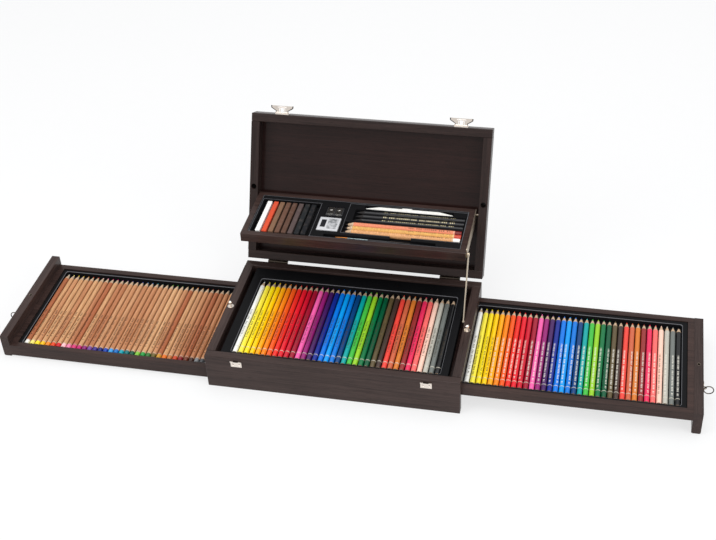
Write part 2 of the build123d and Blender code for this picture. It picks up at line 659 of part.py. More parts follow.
# Bed of the lid tray: one pocket for the sticks, one for the eraser and sharpener, one for the row
BED_X0 = LT_LEFT + LT_RAIL
BED_X1 = LT_RIGHT - LT_RAIL
BED_Y0 = LT_FRONT_Y + LT_RAIL
BED_Y1 = LT_BACK_Y - LT_RAIL
LT_BED_TOP = LT_TOP - LT_BED_DROP
LT_FLOOR = LT_TOP - LT_FLOOR_DROP
with BuildPart() as tray_bed:
    block((BED_X0, BED_X1), (BED_Y0, BED_Y1), (LT_LOW + LT_BOTTOM_T, LT_BED_TOP))
    block(
        STICK_POCKET,
        (LT_Y + STICK_POCKET_Y[0], LT_Y + STICK_POCKET_Y[1]),
        (LT_FLOOR, LT_BED_TOP),
        mode=Mode.SUBTRACT,
    )
    for size, at in ((ERASER, ERASER_AT), (SHARPENER, SHARPENER_AT)):
        block(
            (at[0] - size[0] / 2 - POCKET_FIT, at[0] + size[0] / 2 + POCKET_FIT),
            (LT_Y + at[1] - size[1] / 2 - POCKET_FIT, LT_Y + at[1] + size[1] / 2 + POCKET_FIT),
            (LT_FLOOR, LT_BED_TOP),
            mode=Mode.SUBTRACT,
        )
    for low_x, high_x, low_y, high_y in (
        *[(ROW_LEFT, ROW_RIGHT, row_y - PENCIL_R, row_y + PENCIL_R) for row_y in BLACK_ROWS],
        (ROW_LEFT - WOOD_EXTRA, ROW_RIGHT, WOOD_ROWS[0] - WOOD_R, WOOD_ROWS[-1] + WOOD_R),
        (STUMP_X - STUMP_L / 2, STUMP_X + STUMP_L / 2, -STUMP_BACK - STUMP_R, -STUMP_BACK + STUMP_R),
        (BRUSH_TIP_X - BRUSH_ROOM, BRUSH_TIP_X + BRUSH_L, BRUSH_Y - BRUSH_R, BRUSH_Y + BRUSH_R),
    ):
        block(
            (low_x - 2 * POCKET_FIT, high_x + 2 * POCKET_FIT),
            (LT_Y + low_y - POCKET_FIT, LT_Y + high_y + POCKET_FIT),
            (LT_FLOOR, LT_BED_TOP),
            mode=Mode.SUBTRACT,
        )
keep(tray_bed, "lid_tray_bed")

stick_mid = (STICK_POCKET[0] + STICK_POCKET[1]) / 2
with BuildPart() as sticks:
    for index in range(STICKS):
        stick_x = stick_mid + (index - (STICKS - 1) / 2) * STICK_PITCH
        block(
            (stick_x - STICK_W / 2, stick_x + STICK_W / 2),
            (LT_Y + STICK_POCKET_Y[0] + STICK_END, LT_Y + STICK_POCKET_Y[1] - STICK_END),
            (LT_FLOOR, LT_FLOOR + STICK_W),
        )
keep(sticks, "pastel_sticks")

with BuildPart() as eraser:
    block(
        (ERASER_AT[0] - ERASER[0] / 2, ERASER_AT[0] + ERASER[0] / 2),
        (LT_Y + ERASER_AT[1] - ERASER[1] / 2, LT_Y + ERASER_AT[1] + ERASER[1] / 2),
        (LT_FLOOR, LT_FLOOR + ERASER[2]),
    )
    fillet(eraser.edges().filter_by(Axis.Z), 2.0)
keep(eraser, "eraser_box")

# Double sharpener: a metal block with two bores
with BuildPart() as sharpener:
    block(
        (SHARPENER_AT[0] - SHARPENER[0] / 2, SHARPENER_AT[0] + SHARPENER[0] / 2),
        (LT_Y + SHARPENER_AT[1] - SHARPENER[1] / 2, LT_Y + SHARPENER_AT[1] + SHARPENER[1] / 2),
        (LT_FLOOR, LT_FLOOR + SHARPENER[2]),
    )
    fillet(sharpener.edges().filter_by(Axis.Z), 1.5)
    for offset in (-1, 1):
        sharpener_front = LT_Y + SHARPENER_AT[1] - SHARPENER[1] / 2
        rod_y(
            SHARPENER_BORE_R,
            SHARPENER_AT[0] + offset * SHARPENER_BORE_X,
            (sharpener_front, sharpener_front + SHARPENER_BORE_DEEP),
            LT_FLOOR + SHARPENER[2] / 2,
            mode=Mode.SUBTRACT,
        )
keep(sharpener, "sharpener")

with BuildPart() as stump:
    with BuildSketch(Plane((0, LT_Y - STUMP_BACK, LT_FLOOR + STUMP_R + REST_GAP))):
        with BuildLine():
            Polyline(
                (STUMP_X - STUMP_L / 2, 0),
                (STUMP_X - STUMP_L / 2 + STUMP_POINT, STUMP_R),
                (STUMP_X + STUMP_L / 2 - STUMP_POINT, STUMP_R),
                (STUMP_X + STUMP_L / 2, 0),
                close=True,
            )
        make_face()
    revolve(axis=Axis((0, LT_Y - STUMP_BACK, LT_FLOOR + STUMP_R + REST_GAP), (1, 0, 0)))
keep(stump, "paper_stump")

# Black and wooden pencils of the lid tray, points to the left
for kind, radius, rows, left in (
    ("black", PENCIL_R, BLACK_ROWS, ROW_LEFT),
    ("wood", WOOD_R, WOOD_ROWS, ROW_LEFT - WOOD_EXTRA),
):
    with BuildPart() as lying_pencil:
        with BuildSketch(Plane.XZ):
            with BuildLine():
                Polyline(
                    (ROW_RIGHT, 0),
                    (ROW_RIGHT, radius),
                    (left + POINT_L, radius),
                    (left, POINT_R),
                    (left, 0),
                    close=True,
                )
            make_face()
        revolve(axis=Axis.X)
    with BuildPart() as row:
        with Locations(*[(0, LT_Y + row_y, LT_FLOOR + radius + REST_GAP) for row_y in rows]):
            add(lying_pencil.part)
    keep(row, f"{kind}_pencils")

brush_plane = Plane((BRUSH_TIP_X, LT_Y + BRUSH_Y, LT_FLOOR + BRUSH_R + REST_GAP))
brush_axis = Axis((BRUSH_TIP_X, LT_Y + BRUSH_Y, LT_FLOOR + BRUSH_R + REST_GAP), (1, 0, 0))
with BuildPart() as brush:
    with BuildSketch(brush_plane):
        with BuildLine():
            Polyline(
                (0, 0),
                (HAIR_L * 0.35, BRUSH_R * 0.62),
                (HAIR_L, BRUSH_R * 0.8),
                (HAIR_L + FERRULE_L, BRUSH_R * 0.92),
                (HAIR_L + FERRULE_L + HANDLE_L * 0.2, BRUSH_R),
                (HAIR_L + FERRULE_L + HANDLE_L, BRUSH_R * 0.5),
                (HAIR_L + FERRULE_L + HANDLE_L, 0),
                close=True,
            )
        make_face()
    revolve(axis=brush_axis)
keep(brush, "paint_brush")

# Bed and pencils of the base
bed_z = (RAIL_Z + BED_BOARD_T, BASE_H - BED_TOP_DROP)
bed_floor = bed_z[1] - BED_DEEP
bed_count = row_count(2 * (IN_X - BED_GAP), BED_ROW_END, BED_PITCH)
row_w = (bed_count - 1) * BED_PITCH + 2 * PENCIL_R
with BuildPart() as bed:
    moulded_bed(
        (-IN_X + BED_GAP, IN_X - BED_GAP),
        (-IN_Y + BED_PLAY, IN_Y - BED_PLAY),
        bed_z,
        (BED_SHIFT - row_w / 2 - POCKET_SIDE, BED_SHIFT + row_w / 2 + POCKET_SIDE),
        (-BED_Y - PENCIL_L / 2 - POCKET_END, -BED_Y + PENCIL_L / 2 + 4 * POCKET_END),
        bed_floor,
    )
keep(bed, "case_bed")

with BuildPart() as case_row:
    pencil_row(
        hex_pencil,
        bed_count,
        BED_SHIFT - (bed_count - 1) * BED_PITCH / 2,
        BED_PITCH,
        -BED_Y - PENCIL_L / 2,
        bed_floor + HEX_FLATS / 2 + REST_GAP,
    )
keep(case_row, "case_pencils")

# Drawers: panel, frame, bottom, bed, pencils and ring pull
OUT_X = CASE_W / 2 + TRAVEL
PANEL_IN = OUT_X - WALL
HALF_Y = IN_Y - SIDE_PLAY
LEFT = (LOW_Z, LOW_TOP, LOW_BED_DROP, LOW_ROW_DROP, LOW_PITCH, LOW_SHIFT)
RIGHT = (HIGH_Z, HIGH_TOP, HIGH_BED_DROP, HIGH_ROW_DROP, HIGH_PITCH, HIGH_SHIFT)
for side, side_name, (low, top, bed_drop, row_drop, pitch, shift), pencil, length in (
    (-1, "left", LEFT, long_pencil, LONG_PENCIL_L),
    (1, "right", RIGHT, round_pencil, PENCIL_L),
):
    with BuildPart() as panel:
        block(span(side, PANEL_IN, OUT_X), (-HALF_Y, HALF_Y), (PANEL_BOTTOM, PANEL_TOP))
        fillet(panel.edges().filter_by(Axis.Y).group_by(Axis.Z)[0], PANEL_R)
        rod_z(
            PANEL_HOLE_R,
            side * (OUT_X - WALL / 2),
            0,
            (PANEL_TOP - PANEL_HOLE_D, PANEL_TOP),
            mode=Mode.SUBTRACT,
        )
    keep(panel, f"drawer_panel_{side_name}")

    inner = PANEL_IN - TRAY_L
    with BuildPart() as tray:
        block(span(side, inner, PANEL_IN), (-HALF_Y, HALF_Y), (low, top))
        block(
            span(side, inner + TRAY_IN_END, PANEL_IN - TRAY_OUT_END),
            (-HALF_Y + TRAY_SIDE, HALF_Y - TRAY_SIDE),
            (low, top),
            mode=Mode.SUBTRACT,
        )
        block(
            span(side, IN_X - PEG_INSET - PEG_R - PEG_PLAY, PANEL_IN - PEG_GROOVE_END),
            (IN_Y - PEG_REACH - PEG_PLAY, HALF_Y),
            ((low + top) / 2 - PEG_R - PEG_PLAY, (low + top) / 2 + PEG_R + PEG_PLAY),
            mode=Mode.SUBTRACT,
        )
        if top > PANEL_TOP - PANEL_HOLE_D:
            rod_z(PANEL_HOLE_R, side * PIN_X, 0, (PANEL_TOP - PANEL_HOLE_D, top), mode=Mode.SUBTRACT)
    keep(tray, f"drawer_frame_{side_name}")

    with BuildPart() as drawer_bottom:
        block(
            span(side, inner + TRAY_IN_END, PANEL_IN - TRAY_OUT_END),
            (-HALF_Y + TRAY_SIDE, HALF_Y - TRAY_SIDE),
            (low, low + TRAY_BOTTOM_T),
        )
    keep(drawer_bottom, f"drawer_bottom_{side_name}")

    mid_x = side * ((inner + TRAY_IN_END + PANEL_IN - TRAY_OUT_END) / 2 - shift)
    count = row_count(TRAY_L - TRAY_IN_END - TRAY_OUT_END, DRAWER_ROW_END, pitch)
    row_w = (count - 1) * pitch + 2 * PENCIL_R
    drawer_floor = top - row_drop - 2 * PENCIL_R
    with BuildPart() as drawer_bed:
        moulded_bed(
            span(side, inner + TRAY_IN_END, PANEL_IN - TRAY_OUT_END),
            (-HALF_Y + TRAY_SIDE, HALF_Y - TRAY_SIDE),
            (low + TRAY_BOTTOM_T, top - bed_drop),
            (mid_x - row_w / 2 - POCKET_SIDE, mid_x + row_w / 2 + POCKET_SIDE),
            (DRAWER_Y - length / 2 - POCKET_END, DRAWER_Y + length / 2 + 2 * POCKET_END),
            drawer_floor,
        )
    keep(drawer_bed, f"drawer_bed_{side_name}")

    with BuildPart() as drawer_row:
        pencil_row(
            pencil,
            count,
            mid_x - (count - 1) * pitch / 2,
            pitch,
            DRAWER_Y - length / 2,
            drawer_floor + PENCIL_R + REST_GAP,
        )
    keep(drawer_row, f"drawer_pencils_{side_name}")

    eye_x = side * (OUT_X + EYE_OUT - EYE_R)
    with BuildPart() as pull:
        rod_x(ROSE_R, span(side, OUT_X, OUT_X + ROSE_T), PULL_Y, PULL_Z)
        rod_x(EYE_WIRE_R * 1.6, span(side, OUT_X, OUT_X + EYE_OUT - 2 * EYE_R), PULL_Y, PULL_Z)
        with Locations((eye_x, PULL_Y, PULL_Z)):
            Torus(EYE_R, EYE_WIRE_R)
    keep(pull, f"pull_eye_{side_name}")

    # The ring leans on the rose, so its middle is as far out as its own radius
    drop = RING_R - EYE_WIRE_R - RING_WIRE_R - RING_PLAY
    lean = ROSE_T + RING_REST + RING_R + RING_WIRE_R - EYE_OUT
    ring_at = (side * (OUT_X + EYE_OUT + lean), PULL_Y, PULL_Z - (drop**2 - lean**2) ** 0.5)
    with BuildPart() as ring:
        with Locations(Location(ring_at, (90, 0, 0))):
            Torus(RING_R, RING_WIRE_R)
    keep(ring, f"pull_ring_{side_name}")
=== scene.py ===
"""Looks of a wooden pencil case that stands open with both drawers pulled out.

Shapes are worked out in millimetres in the case's own frame (X right, Y back, Z up, origin under the
middle of the case) and turned into metres when a mesh is written.
"""
import logging
import math
from dataclasses import dataclass
from enum import Enum
from typing import Sequence

import bmesh
import bpy
import numpy as np
from mathutils import Matrix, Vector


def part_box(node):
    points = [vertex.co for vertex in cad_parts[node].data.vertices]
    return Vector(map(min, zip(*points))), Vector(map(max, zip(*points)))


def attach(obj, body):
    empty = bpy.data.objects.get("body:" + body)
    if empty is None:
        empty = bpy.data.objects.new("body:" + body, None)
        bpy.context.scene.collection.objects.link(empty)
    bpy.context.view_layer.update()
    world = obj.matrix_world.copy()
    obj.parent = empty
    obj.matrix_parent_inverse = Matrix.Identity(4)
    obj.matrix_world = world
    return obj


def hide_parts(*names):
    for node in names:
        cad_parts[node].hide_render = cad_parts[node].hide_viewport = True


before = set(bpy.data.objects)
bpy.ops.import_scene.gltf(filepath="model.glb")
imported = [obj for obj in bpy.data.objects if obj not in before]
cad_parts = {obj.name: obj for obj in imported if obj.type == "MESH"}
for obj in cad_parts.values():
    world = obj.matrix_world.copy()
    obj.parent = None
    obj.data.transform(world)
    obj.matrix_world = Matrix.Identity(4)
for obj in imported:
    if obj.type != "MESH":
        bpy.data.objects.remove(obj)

LOG = logging.getLogger("pencil_case")
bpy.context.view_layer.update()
MM = 0.001
FULL_TURN = 2 * math.pi
QUARTER_TURN = math.pi / 2
LID_OPEN_DEGREES = 115
Tone = tuple[float, float, float]
Triple = tuple[float, float, float]
Pair = tuple[float, float]


def tone(red: int, green: int, blue: int) -> Tone:
    """Turns a display colour into the linear colour that a shader takes.

    Args:
        red, green, blue: the display colour, 0 to 255.

    Returns:
        The same colour on the linear scale.
    """
    levels = np.array((red, green, blue)) / 255
    low = levels / 12.92
    high = ((levels + 0.055) / 1.055) ** 2.4
    return tuple(float(v) for v in np.where(levels > 0.04045, high, low))


def node_box(name: str) -> np.ndarray:
    """Gives a node's lowest and highest corners at rest in millimetres, as two rows."""
    return np.array(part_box(name)) / MM


# ---------------------------------------------------------------- shader maths


class Wire:
    """A shader socket that takes part in arithmetic; each expression adds its Math nodes."""

    def __init__(self, graph: "Graph", socket: bpy.types.NodeSocket) -> None:
        """Keeps the socket and the graph it belongs to."""
        self.graph = graph
        self.socket = socket

    def _join(self, operation: str, *values: "Wire | float") -> "Wire":
        """Adds a Math node of the named operation over the values."""
        inputs = dict(enumerate(values))
        return self.graph.add("ShaderNodeMath", {"operation": operation}, inputs).out(0)

    def __add__(self, other: "Wire | float") -> "Wire":
        """Sum."""
        return self._join("ADD", self, other)

    __radd__ = __add__

    def __mul__(self, other: "Wire | float") -> "Wire":
        """Product."""
        return self._join("MULTIPLY", self, other)

    __rmul__ = __mul__

    def __sub__(self, other: "Wire | float") -> "Wire":
        """Difference."""
        return self._join("SUBTRACT", self, other)

    def __rsub__(self, other: float) -> "Wire":
        """Difference with the number first."""
        return self._join("SUBTRACT", other, self)

    def size(self) -> "Wire":
        """Absolute value."""
        return self._join("ABSOLUTE", self)

    def part(self) -> "Wire":
        """What is left after the whole number."""
        return self._join("FRACT", self)

    def larger(self, other: "Wire | float") -> "Wire":
        """The larger of the two."""
        return self._join("MAXIMUM", self, other)

    def step(self, low: float, high: float) -> "Wire":
        """Makes a smooth step.

        Args:
            low, high: where it is 0 and where it is 1; it falls where high is under low.

        Returns:
            The step, which stays at 0 and 1 outside them.
        """
        inputs = {"Value": self, "From Min": low, "From Max": high}
        settings = {"interpolation_type": "SMOOTHSTEP"}
        return self.graph.add("ShaderNodeMapRange", settings, inputs).out("Result")


class Part:
    """One shader node, with its outputs as wires."""

    def __init__(self, graph: "Graph", node: bpy.types.Node) -> None:
        """Keeps the node and its graph."""
        self.graph = graph
        self.node = node

    def out(self, key: int | str) -> Wire:
        """Gives the output of that number or name, of two with one name the one in use."""
        if isinstance(key, str):
            live = [s for s in self.node.outputs if s.name == key and s.enabled]
            return Wire(self.graph, live[0])
        return Wire(self.graph, self.node.outputs[key])


class Graph:
    """A material's node tree, its surface shader and the ways to add nodes to it."""

    def __init__(self, name: str) -> None:
        """Starts a material of that name with one surface shader."""
        self.material = bpy.data.materials.new(name)
        self.material.use_nodes = True
        self.tree = self.material.node_tree
        self.tree.nodes.clear()
        self.surface = self.add("ShaderNodeBsdfPrincipled", {}, {})
        self.end = self.add("ShaderNodeOutputMaterial", {}, {"Surface": self.surface.out("BSDF")})

    def add(self, kind: str, settings: dict, inputs: dict) -> Part:
        """Adds a node.

        Args:
            kind: the node's type.
            settings: its own settings, set before its sockets.
            inputs: values or wires by socket name or number.

        Returns:
            The node as a Part.
        """
        node = self.tree.nodes.new(kind)
        for key, value in settings.items():
            setattr(node, key, value)
        for key, value in inputs.items():
            self.feed(node, key, value)
        return Part(self, node)

    def feed(self, node: bpy.types.Node, key: int | str, value: object) -> None:
        """Links a wire to a node's socket, or sets the socket to a plain value."""
        if isinstance(key, str):
            socket = [s for s in node.inputs if s.name == key and s.enabled][0]
        else:
            socket = node.inputs[key]
        if isinstance(value, Wire):
            self.tree.links.new(value.socket, socket)
            return
        if isinstance(value, tuple) and len(value) == 3 and socket.type == "RGBA":
            value = (*value, 1.0)
        socket.default_value = value

    def blend(self, share: "Wire | float", first: "Wire | Tone", second: "Wire | Tone") -> Wire:
        """Mixes two colours.

        Args:
            share: how much of the second, 0 to 1.
            first, second: the colours.

        Returns:
            The mixed colour.
        """
        inputs = {"Factor": share, "A": first, "B": second}
        return self.add("ShaderNodeMix", {"data_type": "RGBA"}, inputs).out("Result")

    def place(self, scale: Triple = (1, 1, 1), turn: Triple = (0, 0, 0)) -> Wire:
        """Reads the piece's own coordinates, turned and then stretched.

        Args:
            scale: what each coordinate in metres is multiplied by.
            turn: the turn about each axis before that, in radians.

        Returns:
            The coordinates.
        """
        source = self.add("ShaderNodeTexCoord", {}, {}).out("Object")
        if any(turn):
            source = self.add("ShaderNodeMapping", {}, {"Vector": source, "Rotation": turn}).out(0)
        return self.add("ShaderNodeMapping", {}, {"Vector": source, "Scale": scale}).out(0)

    def noise(self, at: Wire, scale: float, detail: float = 3.0, rough: float = 0.55) -> Wire:
        """Adds a soft random pattern.

        Args:
            at: the coordinates it is read at.
            scale: how closely it repeats.
            detail, rough: how many finer layers it has, and how strong they are.

        Returns:
            The pattern, about 0.5 on average.
        """
        inputs = {"Vector": at, "Scale": scale, "Detail": detail, "Roughness": rough}
        return self.add("ShaderNodeTexNoise", {}, inputs).out(0)

    def mark(self, name: str) -> Wire:
        """Gives the piece's own number of that name."""
        return self.add("ShaderNodeAttribute", {"attribute_name": name}, {}).out("Fac")

    def tint(self, name: str) -> Wire:
        """Gives the piece's own colour of that name."""
        return self.add("ShaderNodeAttribute", {"attribute_name": name}, {}).out("Color")

    def bump(self, height: Wire, depth_mm: float, strength: float = 1.0) -> None:
        """Lets a height pattern tilt the surface.

        Args:
            height: the pattern, 0 to 1.
            depth_mm: how far a height of 1 stands proud.
            strength: how much of the tilt is used.
        """
        inputs = {"Height": height, "Distance": depth_mm * MM, "Strength": strength}
        self.set(Normal=self.add("ShaderNodeBump", {}, inputs).out("Normal"))

    def set(self, **values: object) -> None:
        """Feeds the surface shader's sockets; an underscore stands for a space."""
        for key, value in values.items():
            self.feed(self.surface.node, key.replace("_", " "), value)


# ---------------------------------------------------------------- finishes


class Grain(Enum):
    """The way the grain of a board runs: the turn that brings it to X."""

    ALONG_X = (0.0, 0.0, 0.0)
    ALONG_Y = (0.0, 0.0, -QUARTER_TURN)
    UP_LID = (-math.radians(180 - LID_OPEN_DEGREES), 0.0, -QUARTER_TURN)


def scaled(colour: Tone, share: float) -> Tone:
    """Gives a colour made darker by a share under 1, or lighter by one over 1."""
    return tuple(v * share for v in colour)


@dataclass(frozen=True)
class StainedWood:
    """Dark stained hardwood under satin lacquer, with fine pores along the grain.

    Streaks, fibres, pores and clouds say how closely each pattern repeats in a metre, along the grain
    and on the two sides of it.
    """

    name: str
    light: Tone = tone(72, 57, 53)
    dark: Tone = tone(41, 30, 28)
    grain: Grain = Grain.ALONG_X
    rough: float = 0.5
    streaks: Triple = (2.2, 70, 70)
    fibres: Triple = (10, 420, 420)
    pores: Triple = (60, 1500, 1500)
    clouds: Triple = (6, 9, 9)
    smudges: Triple = (14, 14, 14)
    stain_edge: Pair = (0.36, 0.88)
    pore_edge: Pair = (0.56, 0.70)
    pore_dark: float = 0.3
    relief: float = 0.05

    def make(self) -> bpy.types.Material:
        """Builds it: long streaks of two sizes, short dark pores, and a little wear in the lacquer."""
        g = Graph(self.name)
        turn = self.grain.value
        streak = g.noise(g.place(self.streaks, turn), 1.6, 4, 0.6)
        fine = g.noise(g.place(self.fibres, turn), 1.4, 3, 0.6)
        pore = g.noise(g.place(self.pores, turn), 1.0, 2, 0.5).step(*self.pore_edge)
        cloud = g.noise(g.place(self.clouds, turn), 1.0, 2)
        share = streak * 0.45 + fine * 0.5 + cloud * 0.3
        colour = g.blend(share.step(*self.stain_edge), self.dark, self.light)
        colour = g.blend(pore * 0.6, colour, scaled(self.dark, self.pore_dark))
        smudge = g.noise(g.place(self.smudges), 1.0, 3)
        g.set(Base_Color=colour, Roughness=smudge * 0.16 + (self.rough - 0.08), Specular_IOR_Level=0.06)
        g.set(Coat_Weight=0.3 + smudge * 0.1, Coat_Roughness=0.17)
        g.bump(fine * 0.5 - pore, self.relief, 0.5)
        return g.material


@dataclass(frozen=True)
class MouldedPlastic:
    """Black vacuum-formed plastic with a fine grain, and a painted highlight: paler where the pieces carry
    "lip".
    """

    name: str
    colour: Tone = tone(15, 15, 17)
    lip_highlight_tone: Tone = tone(120, 120, 124)
    rough: float = 0.62
    grain: float = 1700
    lip_highlight_edge: Pair = (0.45, 0.95)
    dust_edge: Pair = (0.62, 0.86)
    relief: float = 0.04

    def make(self) -> bpy.types.Material:
        """Builds it: a fine leathery grain in the height, with slight cloudiness in the sheen."""
        g = Graph(self.name)
        at = g.place()
        cloud = g.noise(at, 22, 3)
        dust = g.noise(at, 420, 4, 0.7).step(*self.dust_edge)
        colour = g.blend(cloud, scaled(self.colour, 0.82), scaled(self.colour, 1.18))
        colour = g.blend(dust * 0.2, colour, scaled(self.colour, 2.4))
        # Painted highlight: the lips are painted paler where the pieces carry "lip".
        g.set(Base_Color=g.blend(g.mark("lip").step(*self.lip_highlight_edge) * 0.8, colour, self.lip_highlight_tone))
        g.set(Specular_IOR_Level=0.1, Roughness=cloud * 0.18 + (self.rough - 0.09))
        g.bump(g.noise(at, self.grain, 2), self.relief, 0.6)
        return g.material


@dataclass(frozen=True)
class Metal:
    """Plated or rolled metal with handling marks."""

    name: str
    colour: Tone
    rough: float
    brushed: bool = False
    lines: Triple = (3000, 60, 60)
    tarnish_edge: Pair = (0.5, 0.8)
    relief: float = 0.02

    def make(self) -> bpy.types.Material:
        """Builds it: a clouded roughness, and on rolled strip fine lines along it."""
        g = Graph(self.name)
        at = g.place()
        cloud = g.noise(at, 160, 3)
        marks = g.noise(g.place(self.lines), 1.0, 2) if self.brushed else cloud
        tarnish = g.noise(at, 60, 4).step(*self.tarnish_edge)
        g.set(Base_Color=g.blend(tarnish * 0.35, self.colour, scaled(self.colour, 0.72)), Metallic=1.0)
        g.set(Roughness=cloud * 0.14 + (self.rough - 0.05))
        g.bump(marks, self.relief, 0.35)
        return g.material


@dataclass(frozen=True)
class PencilCoat:
    """Surface of a row of pencils: lacquer or bare wood, sharpened cone, core and flat end.

    The pieces carry, in millimetres, "along" from the flat end, "cut" which is above 0 where the
    sharpener has cut, "off" from the axis, and "side" round the barrel, 0 to 1.
    """

    name: str
    stamp_reach: Pair
    length: float = 175.0
    core_show: float = 4.6
    bare: bool = False
    dip: float = 10.5
    dip_blur: float = 0.25
    stamp_tone: Tone = tone(226, 222, 208)
    stamp_share: float = 0.9
    stamp_half: Pair = (0.062, 0.048)
    short_dash: Triple = (0.31, 0.42, 0.5)
    long_dash: Triple = (0.083, 0.14, 0.2)
    pale_stamp: Tone = tone(92, 82, 44)
    pale_share: float = 0.0
    line_tone: Tone = tone(214, 208, 190)
    line_place: float = 12.5
    dip_line_gap: float = 1.4
    cone_dark: Tone = tone(176, 142, 112)
    cone_light: Tone = tone(222, 198, 168)
    lead: Tone | None = None
    dulled: Tone = tone(20, 20, 20)
    shade: Tone = tone(140, 82, 46)
    lacquer_ring: Pair = (3.3, 3.1)
    lead_ring: Pair = (1.75, 1.55)
    relief: float = 0.05

    def zones(self, g: Graph) -> dict[str, Wire]:
        """Reads where a point lies on its pencil, and the fibre and wear that shade it."""
        return {
            "along": g.mark("along"),
            "cut": g.mark("cut").step(-0.02, 0.05),
            "off": g.mark("off"),
            "side": g.mark("side"),
            "tint": g.tint("tint"),
            "wood": g.tint("wood"),
            "fibre": g.noise(g.place((900, 26, 900)), 1.0, 3, 0.6),
            "wear": g.noise(g.place(), 260, 3),
        }

    def stamp(self, zone: dict[str, Wire]) -> Wire:
        """Marks a broken line of foil on top of the barrel: dashes of two lengths that spell nothing."""
        low, high = self.stamp_reach
        along = zone["along"]
        row = (zone["side"] - 0.25).size().step(*self.stamp_half)

        def dashes(pace: float, off: float, on: float) -> Wire:
            """Dashes that repeat with a pace for each millimetre, and start between off and on."""
            return (along * pace).part().step(off, on)

        beat = dashes(*self.short_dash) * dashes(*self.long_dash)
        reach = along.step(low, low + 0.6) * along.step(high, high - 1.0)
        return row * beat * reach * zone["wear"].step(0.18, 0.4)

    def pale(self, g: Graph, tint: Wire) -> Wire:
        """Finds the pale yellow and white pencils, whose foil is dark: their red and green are both high."""
        part = g.add("ShaderNodeSeparateColor", {}, {"Color": tint})
        return part.out("Green").step(0.45, 0.6) * part.out("Red").step(0.6, 0.8) * self.pale_share

    def barrel(self, g: Graph, zone: dict[str, Wire]) -> tuple[Wire, "Wire | float"]:
        """Colours the barrel: lacquer with a thin line, or wood that was dipped at its flat end.

        Args:
            g: the material's graph.
            zone: what zones() read.

        Returns:
            The barrel's colour, and the share of it that is lacquered.
        """
        along = zone["along"]
        lacquer = g.blend(zone["wear"] * 0.1, zone["tint"], g.blend(0.5, zone["tint"], self.dulled))
        if self.bare:
            shade = g.blend(0.5, zone["wood"], self.shade)
            cedar = g.blend(zone["fibre"].step(0.3, 0.72), shade, zone["wood"])
            dipped = along.step(self.dip + self.dip_blur, self.dip - self.dip_blur)
            line = (along - (self.dip + self.dip_line_gap)).size().step(0.75, 0.45) * 0.5
            colour = g.blend(dipped, cedar, lacquer)
        else:
            dipped = 1.0
            line = (along - self.line_place).size().step(0.62, 0.38)
            colour = lacquer
        foil = g.blend(self.pale(g, zone["tint"]), self.stamp_tone, self.pale_stamp)
        colour = g.blend(line, colour, self.line_tone)
        return g.blend(self.stamp(zone) * self.stamp_share, colour, foil), dipped

    def make(self) -> bpy.types.Material:
        """Builds it zone by zone along each pencil."""
        g = Graph(self.name)
        zone = self.zones(g)
        along, shaved, fibre, wear = zone["along"], zone["cut"], zone["fibre"], zone["wear"]
        lead = self.lead or zone["tint"]
        cone_wood = g.blend(fibre.step(0.25, 0.8), self.cone_dark, self.cone_light)
        barrel, dipped = self.barrel(g, zone)
        core_start = self.length - self.core_show
        core = along.step(core_start - 0.15, core_start + 0.15)
        colour = g.blend(shaved, barrel, g.blend(core, cone_wood, lead))
        if not self.bare:
            ring = g.blend(zone["off"].step(*self.lacquer_ring), zone["tint"], cone_wood)
            ring = g.blend(zone["off"].step(*self.lead_ring), ring, lead)
            colour = g.blend(along.step(0.12, 0.04), colour, ring)
        gloss = (1.0 - shaved) * dipped
        g.set(Base_Color=colour, Roughness=0.6 - gloss * 0.28 + wear * 0.1)
        g.set(Coat_Weight=gloss * 0.2, Coat_Roughness=0.12, Specular_IOR_Level=0.3)
        g.bump(fibre * shaved + wear * 0.3, self.relief, 0.4)
        return g.material


@dataclass(frozen=True)
class Chalk:
    """Pressed pastel, dusty and matt; each stick has its own colour."""

    name: str
    dust_tone: Tone = tone(170, 150, 140)
    dust_edge: Pair = (0.45, 0.85)
    rough: float = 0.92
    relief: float = 0.12

    def make(self) -> bpy.types.Material:
        """Builds it: crumbly grain, with a little pale dust in it."""
        g = Graph(self.name)
        at = g.place()
        dust = g.noise(at, 130, 4, 0.65).step(*self.dust_edge)
        g.set(Base_Color=g.blend(dust * 0.16, g.tint("tint"), self.dust_tone), Roughness=self.rough)
        g.set(Specular_IOR_Level=0.2)
        g.bump(g.noise(at, 900, 4, 0.7), self.relief, 0.7)
        return g.material


